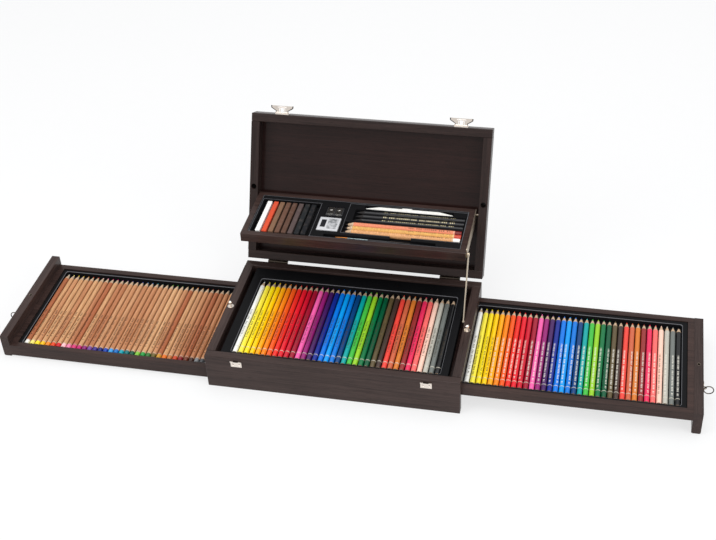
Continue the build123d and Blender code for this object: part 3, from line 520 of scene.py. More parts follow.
@dataclass(frozen=True)
class EraserCase:
    """Silver-grey case with a dark window at its left, over a clouded filling.

    The window is low x, high x, low y, high y on its top, in millimetres from the case's left front
    corner. The filling keeps a distance from the case's left, its right and its two ends. A blur is
    how wide the edge of each is.
    """

    name: str
    low: Triple
    high: Triple
    window: tuple[float, float, float, float] = (4.0, 12.5, 7.0, 27.0)
    window_blur: float = 0.4
    filling_left: float = 14.5
    filling_right: float = 2.5
    filling_ends: float = 3.0
    filling_blur: float = 1.0
    glass: Tone = tone(22, 24, 30)
    rim: Tone = tone(206, 206, 208)
    swirl_dark: Tone = tone(120, 122, 124)
    swirl_light: Tone = tone(196, 196, 198)

    def make(self) -> bpy.types.Material:
        """Builds it: masks on the piece's own place mark the window and the pale filling on its top."""
        g = Graph(self.name)
        at = g.add("ShaderNodeSeparateXYZ", {}, {"Vector": g.place()})
        x = at.out("X") * 1000.0 - self.low[0]
        y = at.out("Y") * 1000.0 - self.low[1]
        top = (at.out("Z") * 1000.0).step(self.high[2] - 0.6, self.high[2] - 0.3)

        def inside(x0: float, x1: float, y0: float, y1: float, blur: float) -> Wire:
            """Mask of a rectangle: the product of a step at each of its four sides."""
            across = x.step(x0, x0 + blur) * x.step(x1, x1 - blur)
            return across * y.step(y0, y0 + blur) * y.step(y1, y1 - blur)

        pane = inside(*self.window, self.window_blur)
        wide, deep = self.high[0] - self.low[0], self.high[1] - self.low[1]
        ends = self.filling_ends
        filled = inside(self.filling_left, wide - self.filling_right, ends, deep - ends, self.filling_blur)
        swirl = g.noise(g.place(), 150, 4, 0.7).step(0.35, 0.65)
        grey = g.blend(swirl, self.swirl_dark, self.swirl_light)
        colour = g.blend(filled * top, self.rim, grey)
        g.set(Base_Color=g.blend(pane * top, colour, self.glass), Roughness=0.32)
        g.bump(swirl * filled, 0.06, 0.4)
        return g.material


@dataclass(frozen=True)
class PlainCoat:
    """One colour with a little life in it: rolled paper, hair, beech or lacquer."""

    name: str
    colour: Tone
    rough: float = 0.6
    grain: float = 300.0
    depth: float = 0.05
    varied: float = 0.12
    stretch: Triple = (1.0, 1.0, 1.0)
    coat: float = 0.0

    def make(self) -> bpy.types.Material:
        """Builds it: a stretched grain that shades the colour and tilts the surface."""
        g = Graph(self.name)
        grain = g.noise(g.place(self.stretch), self.grain, 4)
        low = tuple(max(0.0, v) for v in scaled(self.colour, 1 - 2 * self.varied))
        high = tuple(min(1.0, v) for v in scaled(self.colour, 1 + 2 * self.varied))
        g.set(Base_Color=g.blend(grain.step(0.25, 0.75), low, high))
        g.set(Roughness=grain * 0.12 + (self.rough - 0.06))
        g.bump(grain, self.depth, 0.5)
        if self.coat:
            g.set(Coat_Weight=self.coat, Coat_Roughness=0.12)
        return g.material


# ---------------------------------------------------------------- surfaces


class Shell:
    """Collects grids of points in millimetres and writes them as one closed mesh in metres."""

    def __init__(self) -> None:
        """Starts empty."""
        self.points: list[np.ndarray] = []
        self.faces: list[np.ndarray] = []
        self.caps: list[list[int]] = []
        self.marks: dict[str, list[np.ndarray]] = {}
        self.count = 0

    def grid(self, points: np.ndarray, wrap: tuple[bool, bool] = (False, False), **marks: object) -> None:
        """Adds a grid of points, n by m by 3, joined into four-sided faces.

        Args:
            points: the points; neighbours along both of the first axes are joined.
            wrap: whether the last row joins the first, and the last column the first.
            marks: for each name one number or colour, or one for each point.
        """
        n, m = points.shape[:2]
        index = np.arange(n * m).reshape(n, m) + self.count
        if wrap[0]:
            index = np.vstack([index, index[:1]])
        if wrap[1]:
            index = np.hstack([index, index[:, :1]])
        corners = (index[:-1, :-1], index[1:, :-1], index[1:, 1:], index[:-1, 1:])
        self.faces.append(np.stack(corners, -1).reshape(-1, 4))
        self._keep(points.reshape(-1, 3), marks)

    def cap(self, loop: np.ndarray, **marks: object) -> None:
        """Adds one flat face round a loop of points."""
        self.caps.append(list(range(self.count, self.count + len(loop))))
        self._keep(loop, marks)

    def _keep(self, points: np.ndarray, marks: dict) -> None:
        """Stores points and spreads their marks over them.

        Args:
            points: the points, n by 3.
            marks: for each name one number or colour, or one for each point.
        """
        total = len(points)
        for name, value in marks.items():
            value = np.asarray(value, float)
            wide = 3 if value.ndim and value.shape[-1] == 3 and value.size in (3, 3 * total) else 1
            flat = np.broadcast_to(value.reshape(-1, wide), (total, wide))
            self.marks.setdefault(name, []).append(flat)
        self.points.append(points)
        self.count += total

    def paint(self, start: int, **marks: object) -> None:
        """Spreads marks over the points added last.

        Args:
            start: the count of points before they were added.
            marks: for each name one number or colour.
        """
        for name, value in marks.items():
            value = np.asarray(value, float)
            flat = np.broadcast_to(value.reshape(1, -1), (self.count - start, value.size))
            self.marks.setdefault(name, []).append(flat)

    def write(self, name: str, sharp: float = 35.0) -> bpy.types.Object:
        """Writes the mesh: doubles merged, faces turned outwards, smooth under the sharp angle.

        Args:
            name: the object's name.
            sharp: edges that turn by more degrees than this stay sharp.

        Returns:
            The new object.
        """
        mesh = bpy.data.meshes.new(name)
        quads = np.concatenate(self.faces).tolist() if self.faces else []
        mesh.from_pydata(np.concatenate(self.points) * MM, [], quads + self.caps)
        for key, chunks in self.marks.items():
            values = np.concatenate(chunks)
            if values.shape[1] == 3:
                layer = mesh.attributes.new(key, "FLOAT_COLOR", "POINT")
                full = np.hstack([values, np.ones((len(values), 1))])
                layer.data.foreach_set("color", full.ravel())
            else:
                mesh.attributes.new(key, "FLOAT", "POINT").data.foreach_set("value", values.ravel())
        work = bmesh.new()
        work.from_mesh(mesh)
        bmesh.ops.remove_doubles(work, verts=work.verts, dist=1e-6)
        bmesh.ops.recalc_face_normals(work, faces=work.faces)
        work.to_mesh(mesh)
        work.free()
        mesh.shade_smooth()
        mesh.set_sharp_from_angle(angle=math.radians(sharp))
        made = bpy.data.objects.new(name, mesh)
        bpy.context.scene.collection.objects.link(made)
        return made


def wear_it(
    piece: bpy.types.Object,
    body: str,
    material: bpy.types.Material,
    stands_for: Sequence[str] = (),
) -> None:
    """Dresses a piece, says what it belongs to, and reports it.

    Args:
        piece: the finished object.
        body: the body that it moves with.
        material: its only material.
        stands_for: the nodes that it replaces.
    """
    piece.data.materials.append(material)
    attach(piece, body)
    if stands_for:
        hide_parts(*stands_for)
    LOG.info("%s: %d faces on %s", piece.name, len(piece.data.polygons), body)


def rounded_box(shell: Shell, low: Sequence[float], high: Sequence[float], r: float, steps: int = 2) -> None:
    """Adds a box whose edges and corners are rounded.

    A point on each of six faces takes a direction over a sphere's sixth part; the box's core, smaller
    by r on every side, is widened by r times that direction.

    Args:
        shell: where it goes.
        low, high: the box's corners.
        r: radius of the rounding.
        steps: faces over half a rounded edge.
    """
    low, high = np.asarray(low, float), np.asarray(high, float)
    angles = np.linspace(-math.pi / 4, 0, steps + 1)
    turn = np.tan(np.concatenate([angles, -angles[::-1]]))
    sign = np.concatenate([-np.ones(steps + 1), np.ones(steps + 1)])
    u, v = np.meshgrid(turn, turn, indexing="ij")
    su, sv = np.meshgrid(sign, sign, indexing="ij")
    for axis in range(3):
        for face in (-1, 1):
            direction = np.stack([u, v, np.ones_like(u)], -1)
            direction /= np.linalg.norm(direction, axis=-1, keepdims=True)
            signs = np.stack([su, sv, np.ones_like(su)], -1)
            order = [(axis + 1) % 3, (axis + 2) % 3, axis]
            d = np.zeros_like(direction)
            s = np.zeros_like(signs)
            for place, source in zip(order, range(3)):
                scale = face if source == 2 else 1
                d[..., place] = direction[..., source] * scale
                s[..., place] = signs[..., source] * scale
            core = np.where(s > 0, high - r, low + r)
            shell.grid(core + r * d)


def rounded_loop(x: Sequence[float], y: Sequence[float], r: float, z: float, steps: int = 8) -> np.ndarray:
    """Gives points round a rectangle with rounded corners: four quarter circles in turn.

    Args:
        x, y: the rectangle's low and high side on each axis.
        r: radius of its corners.
        z: its height.
        steps: points on each corner.

    Returns:
        The points, counterclockwise from the right side.
    """
    angles = np.linspace(0, QUARTER_TURN, steps)
    loop = []
    for turn, (cx, cy) in enumerate(((x[1], y[1]), (x[0], y[1]), (x[0], y[0]), (x[1], y[0]))):
        a = angles + turn * QUARTER_TURN
        mid_x = cx - r * (1 if cx == x[1] else -1)
        mid_y = cy - r * (1 if cy == y[1] else -1)
        loop.append(np.stack([mid_x + r * np.cos(a), mid_y + r * np.sin(a), np.full_like(a, z)], -1))
    return np.concatenate(loop)


def turned(profile: Sequence[Sequence[float]], sides: int) -> np.ndarray:
    """Turns a profile about the Y axis.

    Args:
        profile: pairs of the distance along Y and the radius.
        sides: points round each circle.

    Returns:
        The grid, with a row for each pair.
    """
    p = np.asarray(profile, float)
    a = np.linspace(0, FULL_TURN, sides, endpoint=False)
    x = p[:, 1:2] * np.cos(a)
    z = p[:, 1:2] * np.sin(a)
    return np.stack([x, np.broadcast_to(p[:, 0:1], x.shape), z], -1)


# ---------------------------------------------------------------- pencils


SPECTRUM = [
    (244, 244, 238), (252, 236, 70), (252, 226, 20), (255, 208, 0), (252, 172, 10), (246, 134, 16),
    (240, 90, 24), (234, 44, 34), (226, 24, 42), (204, 16, 44), (158, 14, 44), (244, 96, 170),
    (148, 28, 112), (66, 24, 92), (16, 40, 140), (0, 118, 222), (0, 154, 234), (0, 118, 214),
    (0, 62, 120), (0, 162, 160), (66, 186, 66), (150, 206, 40), (0, 112, 62), (0, 84, 52),
    (92, 78, 50), (66, 50, 44), (236, 70, 58), (204, 100, 66), (216, 122, 44), (146, 44, 44),
    (232, 44, 92), (248, 108, 104), (252, 206, 186), (190, 186, 174), (112, 116, 112), (22, 22, 24),
]
DIPPED = [
    (244, 242, 232), (246, 232, 120), (252, 226, 30), (252, 196, 20), (240, 140, 30), (228, 72, 30),
    (208, 24, 36), (250, 196, 200), (240, 128, 170), (216, 60, 120), (196, 26, 112), (140, 26, 112),
    (120, 70, 150), (56, 40, 130), (22, 32, 110), (10, 64, 168), (60, 160, 226), (0, 110, 190),
    (0, 160, 176), (0, 112, 116), (0, 84, 58), (130, 196, 60), (30, 152, 66), (50, 116, 50),
    (104, 92, 40), (204, 146, 40), (232, 116, 30), (190, 116, 60), (196, 70, 36), (132, 24, 34),
    (112, 54, 34), (66, 38, 30), (130, 132, 134), (74, 76, 80), (190, 190, 188), (24, 24, 26),
]
WOODS = (
    (212, 160, 116), (200, 140, 98), (226, 178, 130), (208, 150, 106), (180, 106, 70), (220, 170, 122),
    (194, 130, 90),
)


@dataclass
class PencilRow:
    """A row of sharpened pencils lying side by side, their points to the back or to the left.

    Rings are the places of a pencil's cross-sections in millimetres: those of its flat end and its
    barrel from the flat end, those of its cone from the tip. A ring of the end has its share of the
    barrel's radius, and the shoulder is where barrel and cone meet.
    """

    name: str
    node: str
    body: str
    slot: str
    colours: Sequence[Sequence[int]]
    coat: PencilCoat
    six_sided: bool = False
    to_left: bool = False
    woods: Sequence[Sequence[int]] = WOODS
    sides: int = 18
    cone_length: float = 15.0
    cone_flare: float = 1.02
    tip_radius: float = 0.32
    corner_reach: float = 1.105
    end_rings: tuple = (0.0, 0.0, 0.0, 0.25, 0.6)
    end_shares: tuple = (0.0, 0.42, 0.90, 0.97, 1.0)
    barrel_rings: tuple = (30.0, 80.0, 130.0)
    cone_rings: tuple = (9.0, 4.6, 2.0, 0.7, 0.15, 0.0)
    shoulder: Pair = (-2.0, 1.6)
    shoulder_rings: int = 7
    slack: float = 0.01
    loose: float = 0.5
    seed: int = 7

    def surface(self, length: float, radius: float) -> tuple[np.ndarray, dict]:
        """Works out one pencil with its flat end at the origin.

        The barrel's radius is constant, or that of a hexagon with softened corners. The sharpener's
        cone narrows in a straight line to the tip, and at each place the smaller of the two counts.

        Args:
            length: from flat end to tip.
            radius: of the barrel, or half the distance between a hexagon's flats.

        Returns:
            The grid of points, and the numbers that the finish reads.
        """
        cone_start = length - self.cone_length
        first, last = (cone_start + reach for reach in self.shoulder)
        shoulder = np.linspace(first, last, self.shoulder_rings)
        tip = length - np.array(self.cone_rings)
        along = np.concatenate([self.end_rings, self.barrel_rings, shoulder, tip])
        a = np.linspace(0, FULL_TURN, self.sides, endpoint=False)
        if self.six_sided:
            sixth = FULL_TURN / 6
            wedge = (a + sixth / 2) % sixth - sixth / 2
            barrel = np.minimum(radius / np.cos(wedge), radius * self.corner_reach)
        else:
            barrel = np.full_like(a, radius)
        slope = (radius * self.cone_flare) / self.cone_length
        cone = (length - along)[:, None] * slope + self.tip_radius
        trim = np.ones(len(along))
        trim[: len(self.end_shares)] = self.end_shares
        full = np.minimum(barrel[None, :], cone) * trim[:, None]
        full[-1] = 0.0
        x = full * np.sin(a)
        z = full * np.cos(a)
        y = np.broadcast_to(along[:, None], x.shape)
        marks = {
            "along": y.ravel(),
            "cut": (barrel[None, :] - cone).ravel(),
            "off": full.ravel(),
            "side": np.broadcast_to((a / FULL_TURN + 0.25) % 1.0, x.shape).ravel(),
        }
        return np.stack([x, y, z], -1), marks

    def build(self) -> None:
        """Builds the row in the place of its node, each pencil a little turned and pushed in its own way."""
        low, high = node_box(self.node)
        run, over = (0, 1) if self.to_left else (1, 0)
        length = high[run] - low[run]
        radius = (high[2] - low[2]) / 2
        half = radius * (2 / math.sqrt(3) if self.six_sided else 1)
        grid, marks = self.surface(length, radius - self.slack)
        places = np.linspace(low[over] + half, high[over] - half, len(self.colours))
        rng = np.random.default_rng(self.seed)
        shell = Shell()
        for index, (place, colour) in enumerate(zip(places, self.colours)):
            spin = 0.0 if self.six_sided else rng.uniform(-self.loose, self.loose)
            slip = max(rng.uniform(-self.loose, self.loose), 0.0)
            cos, sin = math.cos(spin), math.sin(spin)
            own = grid @ np.array([[cos, 0, sin], [0, 1, 0], [-sin, 0, cos]]).T
            along = np.minimum(own[..., 1] + slip, length)
            height = own[..., 2] + low[2] + radius
            if self.to_left:
                own = np.stack([high[0] - along, place + own[..., 0], height], -1)
            else:
                own = np.stack([place + own[..., 0], low[1] + along, height], -1)
            pick = index if len(self.woods) == len(self.colours) else rng.integers(len(self.woods))
            wood = tone(*self.woods[pick])
            shell.grid(own, (False, True), tint=tone(*colour), wood=wood, **marks)
        wear_it(shell.write(self.name, 40), self.body, self.coat.make(), [self.node])


# ---------------------------------------------------------------- moulded beds


@dataclass
class MouldedBed:
    """A vacuum-formed bed with one pocket for a row of pencils, and a rolled lip round it.

    Each room is what the pocket leaves free round the pencils, and each draft is how far that wall
    leans in from lip to floor.
    """

    name: str
    node: str
    pencils: str
    body: str
    finish: MouldedPlastic
    lip: float = 1.2
    side_room: float = 1.0
    front_room: float = 1.8
    back_room: float = 3.0
    outer_corner: float = 2.0
    pocket_corner: float = 4.0
    floor_under: float = 0.05
    side_draft: float = 0.2
    front_draft: float = 0.6
    back_draft: float = 0.8
    corner_draft: float = 0.4
    arc_points: int = 4

    def build(self) -> None:
        """Builds it from rounded loops, from the outer skirt over the lip down to the pocket's floor.

        Each ring of faces joins two loops; the lip's loops follow a quarter circle on each side.
        """
        low, high = node_box(self.node)
        p_low, p_high = node_box(self.pencils)
        top = high[2]

        def loop(x: Pair, y: Pair, inset: float, corner: float, z: float) -> np.ndarray:
            """A rounded loop drawn in by inset on every side."""
            return rounded_loop((x[0] + inset, x[1] - inset), (y[0] + inset, y[1] - inset), corner, z)

        outer = ((low[0], high[0]), (low[1], high[1]))
        px = (p_low[0] - self.side_room, p_high[0] + self.side_room)
        py = (p_low[1] - self.front_room, p_high[1] + self.back_room)
        arc = np.linspace(0, QUARTER_TURN, self.arc_points)
        lip = list(zip(self.lip * (1 - np.cos(arc)), self.lip * (1 - np.sin(arc))))
        loops = [loop(*outer, 0.0, self.outer_corner, low[2])]
        loops += [loop(*outer, inset, self.outer_corner, top - drop) for inset, drop in lip]
        loops += [loop(px, py, -grow, self.pocket_corner, top - drop) for grow, drop in lip[::-1]]
        foot_x = (px[0] + self.side_draft, px[1] - self.side_draft)
        foot_y = (py[0] + self.front_draft, py[1] - self.back_draft)
        foot_corner = self.pocket_corner - self.corner_draft
        loops.append(rounded_loop(foot_x, foot_y, foot_corner, p_low[2] - self.floor_under))
        stack = np.stack(loops)
        # The lip's top loops carry "lip", which the finish paints paler as a painted highlight.
        edge = np.zeros(stack.shape[:2])
        edge[self.arc_points + 2 : 2 * self.arc_points] = 1.0
        shell = Shell()
        shell.grid(stack, (False, True), lip=edge)
        shell.cap(loops[-1], lip=0.0)
        shell.cap(loops[0], lip=0.0)
        wear_it(shell.write(self.name, 50), self.body, self.finish.make(), [self.node])


# ---------------------------------------------------------------- lid tray and what lies in it


def along_x(grid: np.ndarray, start: Sequence[float]) -> np.ndarray:
    """Turns a grid that runs along Y so that it runs along X from the point start."""
    return np.stack([grid[..., 1] + start[0], start[1] - grid[..., 0], grid[..., 2] + start[2]], -1)


@dataclass
class TrayBed:
    """The lid tray's moulded insert, with a pocket for each tool and thin raised lips.

    Each room is what a pocket leaves free on the left and right, and in front and behind.
    """

    node: str = "lid_tray_bed"
    wall: float = 1.0
    lip: float = 0.5
    lip_width: float = 0.5
    stick_room: Pair = (6.8, 3.5)
    tool_room: Pair = (0.6, 0.6)
    row_room: Pair = (1.2, 0.6)
    brush_left: float = 13.2
    notch: float = 34.0
    notch_overlap: float = 2.0
    rim_inset: float = 0.9
    stick_rim: float = 1.4
    row_rim: Pair = (1.6, 1.4)
    lip_lines: tuple = (-0.9, -0.45, 0.0, 0.45, 0.9)
    wall_lines: int = 4
    even_lines: int = 24

    def pockets(self) -> list[np.ndarray]:
        """Gives each pocket as low x, high x, low y, high y round what lies in it.

        The last is the notch for a finger, between the wooden pencils and the brush.
        """
        found = []
        for node, (rx, ry) in (
            ("pastel_sticks", self.stick_room),
            ("eraser_box", self.tool_room),
            ("sharpener", self.tool_room),
            ("paper_stump", self.row_room),
            ("black_pencils", self.row_room),
            ("wood_pencils", self.row_room),
            ("paint_brush", self.row_room),
        ):
            low, high = node_box(node)
            left = self.brush_left if node == "paint_brush" else rx
            found.append(np.array([low[0] - left, high[0] + rx, low[1] - ry, high[1] + ry]))
        woods, brush = found[-2:]
        middle, half = (woods[0] + woods[1]) / 2, self.notch / 2
        front, back = brush[3] - self.notch_overlap, woods[2] + self.notch_overlap
        found.append(np.array([middle - half, middle + half, front, back]))
        return found

    def rims(self, low: np.ndarray, high: np.ndarray, pockets: list[np.ndarray]) -> list[np.ndarray]:
        """Gives the rectangles that the lips follow: the insert, the sticks' pocket and the rows' pockets.

        Args:
            low, high: the insert's corners.
            pockets: what pockets() gives.

        Returns:
            Each as low x, high x, low y, high y.
        """
        whole = np.array([low[0], high[0], low[1], high[1]]) + np.array([1, -1, 1, -1]) * self.rim_inset
        sticks = pockets[0] + np.array([-1, 1, -1, 1]) * self.stick_rim
        rows = np.array(pockets[3:6])
        round_rows = np.array([rows[:, 0].min(), rows[:, 1].max(), rows[:, 2].min(), rows[:, 3].max()])
        return [whole, sticks, round_rows + np.repeat(self.row_rim, 2) * (-1, 1, -1, 1)]

    def build(self, material: bpy.types.Material) -> None:
        """Builds it as a height over a rectangular grid, closed by a skirt and a bottom.

        The height is the top, less the depth times the largest of the pockets' masks. A mask is the
        product of four smooth steps, one over each wall. Each lip adds a bell curve of the distance to
        its rectangle. Grid lines stand close together only at walls and lips.

        Args:
            material: its finish.
        """
        low, high = node_box(self.node)
        pockets = self.pockets()
        rims = self.rims(low, high, pockets)
        floor = node_box("pastel_sticks")[0][2]
        spread = np.array(self.lip_lines)
        steps = np.linspace(0, self.wall, self.wall_lines)

        def lines(axis: int) -> np.ndarray:
            """Grid lines along one axis, with the outermost doubled for the skirt."""
            first, last = 2 * axis, 2 * axis + 1
            marks = [np.linspace(low[axis], high[axis], self.even_lines)]
            marks += [p[first] + steps for p in pockets] + [p[last] - steps for p in pockets]
            marks += [r[k] + spread for r in rims for k in (first, last)]
            inner = np.unique(np.clip(np.concatenate(marks), low[axis], high[axis]).round(3))
            return np.concatenate([[low[axis]], inner, [high[axis]]])

        x, y = np.meshgrid(lines(0), lines(1), indexing="ij")

        def step(value: np.ndarray) -> np.ndarray:
            """Smooth step from 0 to 1 over one wall."""
            t = np.clip(value / self.wall, 0, 1)
            return t * t * (3 - 2 * t)

        masks = [step(x - p[0]) * step(p[1] - x) * step(y - p[2]) * step(p[3] - y) for p in pockets]
        sunk = np.max(masks, axis=0)
        edge = np.zeros_like(sunk)
        for r in rims:
            wide = np.abs(x - (r[0] + r[1]) / 2) - (r[1] - r[0]) / 2
            deep = np.abs(y - (r[2] + r[3]) / 2) - (r[3] - r[2]) / 2
            bell = np.exp(-((np.maximum(wide, deep) / self.lip_width) ** 2))
            edge = np.maximum(edge, bell * (1 - sunk))
        z = high[2] - (high[2] - floor) * sunk + self.lip * edge
        z[0, :] = z[-1, :] = z[:, 0] = z[:, -1] = low[2]
        top = np.stack([x, y, z], -1)
        shell = Shell()
        # The lips' bell also goes on as "lip", which the finish paints paler: a painted highlight.
        shell.grid(top, lip=edge)
        outline = np.concatenate([top[:-1, 0], top[-1, :-1], top[:0:-1, -1], top[0, :0:-1]])
        shell.cap(outline, lip=0.0)
        wear_it(shell.write("tray_insert", 50), "lid_tray", material, [self.node])


@dataclass
class Sharpener:
    """The double sharpener: dark body, two blades with their screws, and a bright rim round each bore."""

    node: str = "sharpener"
    edge: float = 1.2
    blade_rise: float = 1.4
    blade_thick: float = 0.7
    blade_half: float = 5.4
    blade_inset: float = 1.6
    blade_edge: float = 0.25
    blade_place: float = 6.5
    screw: tuple = ((0, 0.0), (0, 2.9), (0.6, 2.9), (1.0, 2.3), (1.0, 0.0))
    screw_back: float = 8.0
    screw_up: float = 0.6
    bore: float = 3.0
    bore_wire: float = 0.7
    bore_up: float = 0.6
    bore_proud: float = 0.3

    def build(self, body: str) -> None:
        """Builds it: rounded boxes for body and blades, a turned screw and a ring for each blade.

        Args:
            body: the body that it moves with.
        """
        low, high = node_box(self.node)
        block, blades = Shell(), Shell()
        top = high[2] - self.blade_rise
        rounded_box(block, low, (high[0], high[1], top), self.edge)
        round_wire = np.linspace(0, FULL_TURN, 7)
        wire = self.bore_wire * np.stack([np.cos(round_wire), np.sin(round_wire)], -1) + (0, self.bore)
        for side in (-1, 1):
            x = (low[0] + high[0]) / 2 + side * self.blade_place
            near = (x - self.blade_half, low[1] + self.blade_inset, top)
            far = (x + self.blade_half, high[1] - self.blade_inset, top + self.blade_thick)
            rounded_box(blades, near, far, self.blade_edge)
            head = (x, high[1] - self.screw_back, top + self.screw_up)
            blades.grid(turned(self.screw, 16)[..., (0, 2, 1)] + head, (False, True))
            bore = (x, low[1] + self.bore_proud, (low[2] + top) / 2 + self.bore_up)
            blades.grid(turned(wire, 24) + bore, (False, True))
        coat = PlainCoat("sharpener_body", tone(40, 40, 43), 0.4).make()
        wear_it(block.write("sharpener_block", 40), body, coat, [self.node])
        metal = Metal("sharpener_steel", tone(150, 148, 144), 0.2).make()
        wear_it(blades.write("sharpener_blades", 40), body, metal)


@dataclass
class Stump:
    """The paper stump: a roll with two cones, and a paper band round its middle."""

    node: str = "paper_stump"
    cone: float = 22.0
    tip: float = 0.5
    band: Pair = (0.42, 0.53)
    band_proud: float = 1.2
    band_sunk: float = 0.98

    def build(self, body: str) -> None:
        """Builds it from two turned profiles, the band's sunk a little into the roll.

        Args:
            body: the body that it moves with.
        """
        low, high = node_box(self.node)
        length, r = high[0] - low[0], (high[2] - low[2]) / 2
        tip, cone = self.tip, self.cone
        roll = [(0, 0), (0, tip), (cone, r), (length - cone, r), (length, tip), (length, 0)]
        first, last = (share * length for share in self.band)
        inner, outer = r * self.band_sunk, r + self.band_proud
        band = [(first, inner), (first, outer), (last, outer), (last, inner)]
        start = (low[0], (low[1] + high[1]) / 2, low[2] + r)
        shell = Shell()
        for profile in (roll, band):
            shell.grid(along_x(turned(profile, 24), start), (False, True))
        coat = PlainCoat("stump_paper", tone(238, 236, 230), 0.85, 220, 0.08, 0.05, (6.0, 1.0, 1.0))
        wear_it(shell.write("stump_roll", 30), body, coat.make(), [self.node])


@dataclass
class Brush:
    """The brush: hair with fine furrows, a crimped ferrule and a lacquered handle.

    Hair, neck and tail are pairs of a distance and a radius: from the hair's tip, from the ferrule's
    end and from the handle's end. Belly and waist are shares of the handle's length, where it is
    thickest and where it has thinned.
    """

    node: str = "paint_brush"
    hair: tuple = ((0, 0.0), (0.6, 0.5), (3, 1.2), (9, 1.9), (18, 2.3))
    hair_length: float = 26.0
    hair_radius: float = 2.2
    hair_sides: int = 40
    furrow: float = 0.07
    ferrule_length: float = 32.0
    crimps: Pair = (9.0, 5.0)
    crimp_radius: float = 2.35
    ferrule_radius: float = 2.62
    ferrule_end: float = 2.7
    ferrule_over: float = 0.6
    neck: tuple = ((-0.2, 0.0), (-0.2, 2.5), (3.0, 2.75))
    belly: float = 0.2
    waist: Pair = (0.6, 2.2)
    tail: tuple = ((1.2, 1.45), (0.3, 0.9), (0.0, 0.0))

    def tuft(self) -> np.ndarray:
        """Gives the hair: a turned profile whose radius is a little less on every second side."""
        end = (self.hair_length + 0.5, 0.0)
        grid = turned([*self.hair, (self.hair_length, self.hair_radius), end], self.hair_sides)
        wave = 1 - self.furrow * np.cos(np.arange(self.hair_sides) * math.pi)[None, :]
        return grid * np.stack([wave, np.ones_like(wave), wave], -1)

    def build(self, body: str) -> None:
        """Builds handle, hair and ferrule from turned profiles along the brush.

        Args:
            body: the body that it moves with.
        """
        low, high = node_box(self.node)
        r = (high[2] - low[2]) / 2
        length = high[0] - low[0]
        start = (low[0], (low[1] + high[1]) / 2, low[2] + r)
        begin, end = self.hair_length - self.ferrule_over, self.hair_length + self.ferrule_length
        tube = [(begin, 0.0), (begin, self.crimp_radius)]
        for back in self.crimps:
            crimp = end - back
            tube += [(crimp - 1, self.ferrule_radius), (crimp, self.crimp_radius)]
            tube += [(crimp + 1, self.ferrule_radius)]
        tube += [(end, self.ferrule_end), (end, 0.0)]
        rest = length - end
        waist, waist_radius = self.waist
        stem = [(end + ahead, radius) for ahead, radius in self.neck]
        stem += [(end + rest * self.belly, r - 0.02), (end + rest * waist, waist_radius)]
        stem += [(length - back, radius) for back, radius in self.tail]
        amber = PlainCoat("brush_hair", tone(198, 122, 44), 0.7, 500, 0.1, 0.3, (0.05, 1.0, 1.0))
        silver = Metal("brush_ferrule", tone(184, 204, 208), 0.28)
        black = PlainCoat("brush_lacquer", tone(22, 22, 26), 0.3, coat=0.4)
        for name, grid, coat, nodes in (
            ("brush_stem", turned(stem, 24), black, [self.node]),
            ("brush_tuft", self.tuft(), amber, []),
            ("brush_tube", turned(tube, 24), silver, []),
        ):
            shell = Shell()
            shell.grid(along_x(grid, start), (False, True))
            wear_it(shell.write(name, 40), body, coat.make(), nodes)


@dataclass
class TrayTools:
    """What lies in the lid tray: sticks, eraser, sharpener, stump, pencils and brush."""

    body: str = "lid_tray"
    stick_colours: tuple = (
        (247, 245, 241), (216, 80, 50), (126, 94, 72), (104, 74, 60),
        (92, 66, 54), (86, 72, 70), (34, 36, 38), (27, 28, 31),
    )
    stick_edge: float = 0.7
    eraser_edge: float = 1.3
    black: tuple = ((24, 24, 27), (24, 24, 27), (24, 24, 27))
    dipped_ends: tuple = ((248, 244, 238), (196, 70, 52), (112, 24, 22))
    tray_woods: tuple = ((240, 180, 124), (238, 186, 104), (246, 150, 116))

    def sticks(self) -> None:
        """Builds the square pastel sticks, each with slightly worn edges and its own colour."""
        low, high = node_box("pastel_sticks")
        half = (high[2] - low[2]) / 2
        centres = np.linspace(low[0] + half, high[0] - half, len(self.stick_colours))
        shell = Shell()
        for centre, colour in zip(centres, self.stick_colours):
            start = shell.count
            near, far = (centre - half, low[1], low[2]), (centre + half, high[1], high[2])
            rounded_box(shell, near, far, self.stick_edge)
            shell.paint(start, tint=tone(*colour))
        piece = shell.write("chalk_sticks", 50)
        wear_it(piece, self.body, Chalk("stick_chalk").make(), ["pastel_sticks"])

    def eraser(self) -> None:
        """Builds the eraser's flat case with rounded edges."""
        low, high = node_box("eraser_box")
        shell = Shell()
        rounded_box(shell, low, high, self.eraser_edge, 3)
        finish = EraserCase("eraser_case", tuple(low), tuple(high))
        wear_it(shell.write("eraser_shell", 40), self.body, finish.make(), ["eraser_box"])

    def pencils(self) -> None:
        """Builds the black pencils with pale gilt marks and the thicker wooden ones with dipped ends."""
        gilt = PencilCoat(
            "black_pencil_coat",
            (15.0, 130.0),
            stamp_tone=tone(214, 200, 158),
            line_tone=tone(30, 30, 32),
            cone_dark=tone(24, 22, 22),
            cone_light=tone(38, 34, 33),
        )
        cedar = PencilCoat(
            "wood_pencil_coat",
            (18.0, 84.0),
            length=185.0,
            bare=True,
            stamp_tone=tone(120, 76, 48),
            lead=tone(40, 34, 34),
        )
        for name, node, slot, colours, coat, woods in (
            ("black_row", "black_pencils", "black_pencil", self.black, gilt, WOODS),
            ("wood_row", "wood_pencils", "cedar_pencil", self.dipped_ends, cedar, self.tray_woods),
        ):
            PencilRow(name, node, self.body, slot, colours, coat, to_left=True, woods=woods).build()

    def build(self) -> None:
        """Builds everything in the tray."""
        self.sticks()
        self.eraser()
        Sharpener().build(self.body)
        Stump().build(self.body)
        self.pencils()
        Brush().build(self.body)


# ---------------------------------------------------------------- wooden boards and fittings


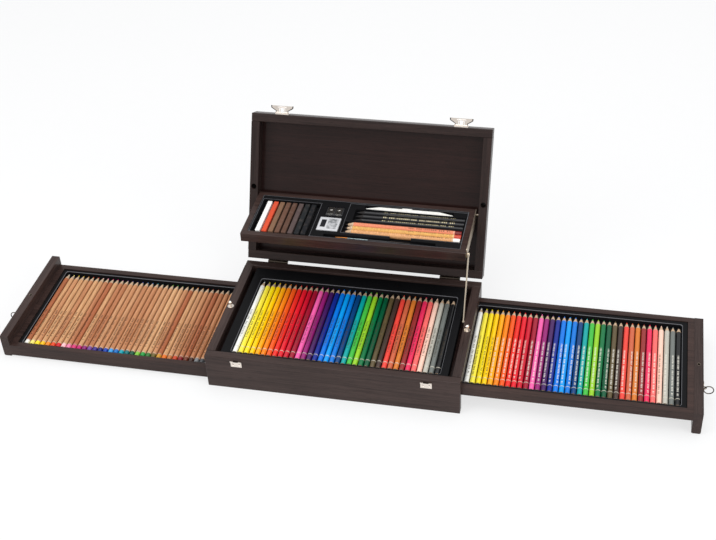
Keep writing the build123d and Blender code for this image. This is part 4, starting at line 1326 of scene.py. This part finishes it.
@dataclass(frozen=True)
class LidPlane:
    """The open lid's own frame: X along the hinge, Y to the hinge, Z from its rim to its panel."""

    open_degrees: float = LID_OPEN_DEGREES
    height: float = 25.0
    gap: float = 0.3

    def hinge(self) -> np.ndarray:
        """Gives a point on the hinge's axis."""
        return node_box("hinge_pins").mean(axis=0) * (0, 1, 1)

    def world(self, points: np.ndarray) -> np.ndarray:
        """Turns points of the shut lid's frame to where the open lid is.

        Args:
            points: the points in millimetres, measured from the hinge.

        Returns:
            The same points in the case's frame.
        """
        a = math.radians(self.open_degrees)
        y = points[..., 1] * math.cos(a) + points[..., 2] * math.sin(a)
        z = -points[..., 1] * math.sin(a) + points[..., 2] * math.cos(a)
        return np.stack([points[..., 0], y, z], -1) + self.hinge()


@dataclass
class Joinery:
    """The case's boards, each with softened edges, cut to the size of its node."""

    wall: float = 13.5
    edge: float = 1.1

    def board(self, node: str, body: str, material: bpy.types.Material) -> None:
        """Builds one upright board in the place of its node.

        Args:
            node: the board's node.
            body: the body that it moves with.
            material: its finish.
        """
        low, high = node_box(node)
        shell = Shell()
        rounded_box(shell, low, high, self.edge, 3)
        wear_it(shell.write(f"{node}_board", 30), body, material, [node])

    def lid_walls(self, material: bpy.types.Material) -> None:
        """Builds the lid's front and back walls in the lid's own frame.

        Args:
            material: their finish.
        """
        plane = LidPlane()
        hinge_y = plane.hinge()[1]
        front = node_box("front_wall")[0]
        back = node_box("back_wall")[1]
        for node, low_y in (
            ("lid_front_wall", front[1] - hinge_y),
            ("lid_back_wall", back[1] - hinge_y - self.wall),
        ):
            shell = Shell()
            low = (front[0], low_y, plane.gap)
            high = (-front[0], low_y + self.wall, plane.gap + plane.height)
            rounded_box(shell, low, high, self.edge, 3)
            shell.points = [plane.world(chunk) for chunk in shell.points]
            wear_it(shell.write(f"{node}_board", 30), "lid", material, [node])


@dataclass
class Fittings:
    """Small metal trim: dark rolled lever edges that paint their shade, pin-hole eyelets, and dark plates
    that paint the shadow in the keepers' notches.

    A lever's rolled edge runs along roll_path, pairs of the distance from the lever's middle and from
    its pin; roll_radii are its radii there.
    """

    eyelet_r: float = 2.55
    eyelet_wire: float = 0.45
    eyelet_proud: float = 0.08
    shadow_half: float = 4.2
    shadow_height: float = 3.4
    shadow_up: float = 0.2
    shadow_depth: Pair = (-0.4, 0.6)
    shadow_edge: float = 0.18
    roll_path: tuple = ((9.25, 0.0), (9.25, 3.0), (17.5, 8.0), (17.5, 11.2))
    roll_radii: tuple = (0.7, 0.7, 0.8, 1.1)
    roll_rings: int = 19
    latch_out: float = 2.7
    latch_up: float = 2.8

    def eyelets(self, material: bpy.types.Material) -> None:
        """Adds a thin metal ring round the pin hole in each drawer panel's top edge.

        Args:
            material: the rings' finish.
        """
        a = np.linspace(0, FULL_TURN, 9)
        wire = np.stack([self.eyelet_wire * np.cos(a), self.eyelet_r + self.eyelet_wire * np.sin(a)], -1)
        for side in ("left", "right"):
            low, high = node_box(f"drawer_panel_{side}")
            middle = (low + high) / 2
            place = (middle[0], middle[1], high[2] - self.eyelet_wire + self.eyelet_proud)
            shell = Shell()
            shell.grid(turned(wire, 28)[..., (0, 2, 1)] + place, (False, True))
            wear_it(shell.write(f"pin_eyelet_{side}", 60), f"drawer_{side}", material)

    def keeper_shadows(self, material: bpy.types.Material) -> None:
        """Adds a dark plate let into the wall between each keeper's two lugs: painted shadow in the keeper's
        notch.

        Args:
            material: the plates' finish, a dark metal that paints the shadow.
        """
        face = node_box("front_wall")[0][1]
        front, back = (face + depth for depth in self.shadow_depth)
        for side in ("left", "right"):
            low, high = node_box(f"latch_keeper_{side}")
            middle, half = (low[0] + high[0]) / 2, self.shadow_half
            shell = Shell()
            near = (middle - half, front, high[2] - self.shadow_height)
            far = (middle + half, back, high[2] + self.shadow_up)
            # The plate is dark only to paint the shadow inside the keeper's notch.
            rounded_box(shell, near, far, self.shadow_edge)
            wear_it(shell.write(f"keeper_shadow_{side}", 30), "case", material)

    def rolls(self, material: bpy.types.Material) -> None:
        """Adds the rolled edges of each latch lever, in a dark finish that paints shade and dark reflection
        along them.

        Each is a round tube: circles square to the path, from the lever's neck out to its wing and
        along the wing's end.

        Args:
            material: their finish, a dark metal that paints the shade and dark reflection.
        """
        plane = LidPlane()
        pin_y = node_box("front_wall")[0][1] - plane.hinge()[1] - self.latch_out
        turn = np.linspace(0, FULL_TURN, 9)[None, :-1, None]
        upward = np.array([0.0, 0.0, 1.0])
        corners = range(len(self.roll_path))
        t = np.linspace(0, len(self.roll_path) - 1, self.roll_rings)
        x, out = (np.interp(t, corners, line) for line in zip(*self.roll_path))
        radius = np.interp(t, corners, self.roll_radii)[:, None, None]
        for side in ("left", "right"):
            middle = node_box(f"latch_lever_{side}").mean(axis=0)[0]
            shell = Shell()
            for hand in (-1, 1):
                path = np.stack([middle + hand * x, pin_y - out, np.full_like(x, self.latch_up)], -1)
                ahead = np.gradient(path, axis=0)
                ahead /= np.linalg.norm(ahead, axis=1, keepdims=True)
                across = np.cross(ahead, upward)
                ring = across[:, None] * np.cos(turn) + upward * np.sin(turn)
                tube = plane.world(path[:, None] + radius * ring)
                # The dark tube paints the shade and dark reflection along the lever's edge.
                shell.grid(tube, (False, True))
                shell.cap(tube[0])
                shell.cap(tube[-1])
            wear_it(shell.write(f"lever_roll_shade_{side}", 50), f"lever_{side}", material)


# ---------------------------------------------------------------- studio


@dataclass
class Studio:
    """The camera at the photograph's place, soft lamps and a pale floor.

    Angles are in degrees, the camera's distance and its shift from the line to the origin in
    millimetres, and its focal length in picture points. A lamp is its name, its place and size in
    metres, and its power.
    """

    azimuth: float = 14.03
    elevation: float = 37.86
    roll: float = -3.33
    distance: float = 1986.96
    aim: Pair = (21.79, 121.1)
    focal: float = 1254.6
    image_width: int = 716
    sensor: float = 36.0
    clip: Pair = (0.05, 30.0)
    lamps: tuple = (
        ("overhead", (0.2, 0.1, 2.6), 2.4, 39),
        ("window_left", (-2.2, -1.6, 1.7), 1.6, 26),
        ("window_right", (2.4, -1.4, 1.5), 1.4, 17),
    )
    lamps_aim: Triple = (0.0, 0.0, 0.05)
    sky: Triple = (0.95, 0.97, 1.0)
    sky_strength: float = 0.62
    floor_dark: Triple = (0.84, 0.84, 0.845)
    floor_light: Triple = (0.87, 0.87, 0.87)
    floor_glow: float = 0.7
    floor_half: float = 9000.0
    floor_under: float = 0.05
    pale_rays: tuple = ("Is Glossy Ray", "Is Transmission Ray")

    def stand(
        self, data: bpy.types.ID, axes: Sequence[np.ndarray], place: Sequence[float]
    ) -> bpy.types.Object:
        """Puts a camera or lamp into the scene.

        Args:
            data: the camera's or lamp's own settings; the object takes its name.
            axes: its X, Y and Z directions.
            place: where it is, in metres.

        Returns:
            The new object.
        """
        made = bpy.data.objects.new(data.name, data)
        rows = [[axes[0][i], axes[1][i], axes[2][i], place[i]] for i in range(3)]
        made.matrix_world = Matrix([*rows, [0, 0, 0, 1]])
        bpy.context.scene.collection.objects.link(made)
        return made

    def camera(self) -> None:
        """Sets up the camera: it looks along the view direction, rolled about it."""
        az, el, roll = (math.radians(v) for v in (self.azimuth, self.elevation, self.roll))
        back = np.array([math.sin(az) * math.cos(el), -math.cos(az) * math.cos(el), math.sin(el)])
        right = np.cross(-back, (0, 0, 1))
        right /= np.linalg.norm(right)
        up = np.cross(right, -back)
        place = back * self.distance + right * self.aim[0] + up * self.aim[1]
        side = math.cos(roll) * right + math.sin(roll) * up
        rise = -math.sin(roll) * right + math.cos(roll) * up
        data = bpy.data.cameras.new("viewpoint")
        data.sensor_fit = "HORIZONTAL"
        data.sensor_width = self.sensor
        data.lens = self.focal / self.image_width * self.sensor
        data.clip_start, data.clip_end = self.clip
        bpy.context.scene.camera = self.stand(data, (side, rise, back), place * MM)

    def lamp(self, name: str, place: Triple, size: float, power: float) -> None:
        """Adds a square soft lamp that faces the object.

        Args:
            name: its name.
            place: where it is, in metres.
            size: its side, in metres.
            power: in watts.
        """
        data = bpy.data.lights.new(name, "AREA")
        data.size = size
        data.energy = power
        away = np.array(place, float) - np.array(self.lamps_aim)
        away /= np.linalg.norm(away)
        side = np.cross((0.0, 1.0, 0.05), away)
        side /= np.linalg.norm(side)
        self.stand(data, (side, np.cross(away, side), away), place)

    def room(self) -> None:
        """Sets up the world: soft light on the object, and white where the camera or a mirror sees it."""
        world = bpy.data.worlds.new("room")
        world.use_nodes = True
        tree = world.node_tree
        sky = tree.nodes["Background"]
        sky.inputs["Color"].default_value = (*self.sky, 1)
        sky.inputs["Strength"].default_value = self.sky_strength
        path = tree.nodes.new("ShaderNodeLightPath")
        white = tree.nodes.new("ShaderNodeBackground")
        white.inputs["Strength"].default_value = 1.0
        either = tree.nodes.new("ShaderNodeMixShader")
        seen = path.outputs["Is Camera Ray"]
        for kind in self.pale_rays:
            both = tree.nodes.new("ShaderNodeMath")
            both.operation = "MAXIMUM"
            tree.links.new(seen, both.inputs[0])
            tree.links.new(path.outputs[kind], both.inputs[1])
            seen = both.outputs[0]
        for index, socket in enumerate((seen, sky.outputs[0], white.outputs[0])):
            tree.links.new(socket, either.inputs[index])
        tree.links.new(either.outputs[0], tree.nodes["World Output"].inputs["Surface"])
        bpy.context.scene.world = world

    def floor(self) -> None:
        """Lays a wide floor that the camera sees near white, with the object's shadow kept."""
        shell = Shell()
        axis = np.linspace(-self.floor_half, self.floor_half, 7)
        x, y = np.meshgrid(axis, axis, indexing="ij")
        shell.grid(np.stack([x, y, np.full_like(x, -self.floor_under)], -1))
        made = shell.write("floor")
        g = Graph("pale_floor")
        fine = g.noise(g.place(), 40, 2)
        g.set(Base_Color=g.blend(fine, self.floor_dark, self.floor_light), Roughness=0.9)
        path = g.add("ShaderNodeLightPath", {}, {})
        ray = path.out("Is Camera Ray")
        for kind in self.pale_rays:
            ray = ray.larger(path.out(kind))
        glow = g.add("ShaderNodeEmission", {}, {"Color": (1.0, 1.0, 1.0), "Strength": 1.0}).out(0)
        inputs = {0: ray * self.floor_glow, 1: g.surface.out("BSDF"), 2: glow}
        mixed = g.add("ShaderNodeMixShader", {}, inputs).out(0)
        g.feed(g.end.node, "Surface", mixed)
        made.data.materials.append(g.material)

    def build(self) -> None:
        """Sets up everything round the object."""
        self.camera()
        for lamp in self.lamps:
            self.lamp(*lamp)
        self.room()
        bpy.context.scene.view_settings.view_transform = "Standard"
        self.floor()


# ---------------------------------------------------------------- the whole case


def dress_nodes(starts: Sequence[str], material: bpy.types.Material) -> None:
    """Gives carried-over nodes a material in place of their plain one.

    Args:
        starts: what the nodes' names start with.
        material: their finish.
    """
    for name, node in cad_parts.items():
        if name.startswith(tuple(starts)):
            node.data.materials.clear()
            node.data.materials.append(material)
            LOG.info("%s wears %s", name, material.name)


def woodwork() -> None:
    """Builds the boards that need softened edges, and stains the nodes of the others."""
    lid_light, lid_dark = tone(55, 41, 38), tone(31, 22, 20)
    along = StainedWood("case_wood_along").make()
    across = StainedWood("case_wood_across", grain=Grain.ALONG_Y).make()
    up_lid = StainedWood("lid_wood_up", lid_light, lid_dark, Grain.UP_LID).make()
    lid_along = StainedWood("lid_wood_along", lid_light, lid_dark).make()
    inside = StainedWood("panel_wood", tone(44, 25, 22), tone(27, 14, 12)).make()
    tray_wood = StainedWood("tray_wood", tone(70, 52, 47), tone(38, 27, 25)).make()
    wood = Joinery()
    for node in ("front_wall", "back_wall"):
        wood.board(node, "case", along)
    wood.lid_walls(lid_along)
    hidden = ("lid_panel", "floor_board", "shelf_board", "bed_board", "lid_tray_bottom", "drawer_bottom")
    dress_nodes(hidden, inside)
    dress_nodes(("side_rail", "drawer_panel"), across)
    dress_nodes(("lid_side",), up_lid)
    dress_nodes(("lid_tray_frame", "drawer_frame"), tray_wood)
    dress_nodes(("stop_pegs",), PlainCoat("peg_beech", tone(196, 160, 120)).make())


def metalwork() -> None:
    """Plates the metal nodes and adds the small trim."""
    # Darker copies of the nickel for eyes, screws, studs and eyelets: the darkness is painted dark
    # reflection of the surroundings.
    dark_nickel = Metal("dark_nickel", tone(128, 118, 106), 0.22).make()
    # A dark copy of the nickel, which paints shade and dark reflection on the levers' rolled edges and the
    # shadow in the keepers' notches.
    painted_shade_nickel = Metal("painted_shade_nickel", tone(48, 40, 35), 0.3).make()
    dress_nodes(("latch_", "pin_bush", "lock_pin"), Metal("nickel", tone(232, 222, 212), 0.14).make())
    dress_nodes(("pull_eye", "stay_screw", "tray_pivot_studs"), dark_nickel)
    # Pull rings darker still: painted dark reflection.
    dress_nodes(("pull_ring",), Metal("ring_nickel", tone(96, 90, 84), 0.2).make())
    dress_nodes(("hinge_",), Metal("hinge_metal", tone(78, 70, 62), 0.3).make())
    dress_nodes(("stay_arm", "lid_tray_strap"), Metal("strip_steel", tone(206, 192, 172), 0.3, True).make())
    fittings = Fittings()
    fittings.eyelets(dark_nickel)
    fittings.rolls(painted_shade_nickel)
    fittings.keeper_shadows(painted_shade_nickel)


def pencil_beds() -> None:
    """Builds the three large beds and the rows of pencils that lie in them."""
    hexagons = PencilCoat("case_pencil_coat", (34.0, 100.0), stamp_tone=tone(60, 52, 40))
    rounds = PencilCoat("right_pencil_coat", (18.0, 106.0), pale_share=1.0)
    bare = PencilCoat("left_pencil_coat", (20.0, 84.0), 181.0, 3.0, True, 7.5, stamp_tone=tone(70, 42, 26))
    plastic = MouldedPlastic("moulded_black")
    right = ("drawer_bed_right", "drawer_pencils_right", "drawer_right")
    left = ("drawer_bed_left", "drawer_pencils_left", "drawer_left")
    sets = (
        ("case", ("case_bed", "case_pencils", "case"), "lacquered_pencil", SPECTRUM, hexagons),
        ("right", right, "lacquered_pencil", SPECTRUM, rounds),
        ("left", left, "cedar_pencil", DIPPED, bare),
    )
    for place, (_, pencils, body), slot, colours, coat in sets:
        six_sided = coat is hexagons
        PencilRow(f"{place}_pencil_row", pencils, body, slot, colours, coat, six_sided).build()
    for place, (bed, pencils, body), *_ in sets:
        MouldedBed(f"{place}_bed_form", bed, pencils, body, plastic).build()
    TrayBed().build(plastic.make())


def main() -> None:
    """Builds the case's pieces in order and reports each."""
    logging.basicConfig(level=logging.INFO, format="%(name)s %(message)s")
    Studio().build()
    woodwork()
    metalwork()
    pencil_beds()
    TrayTools().build()


if __name__ == "__main__":
    main()
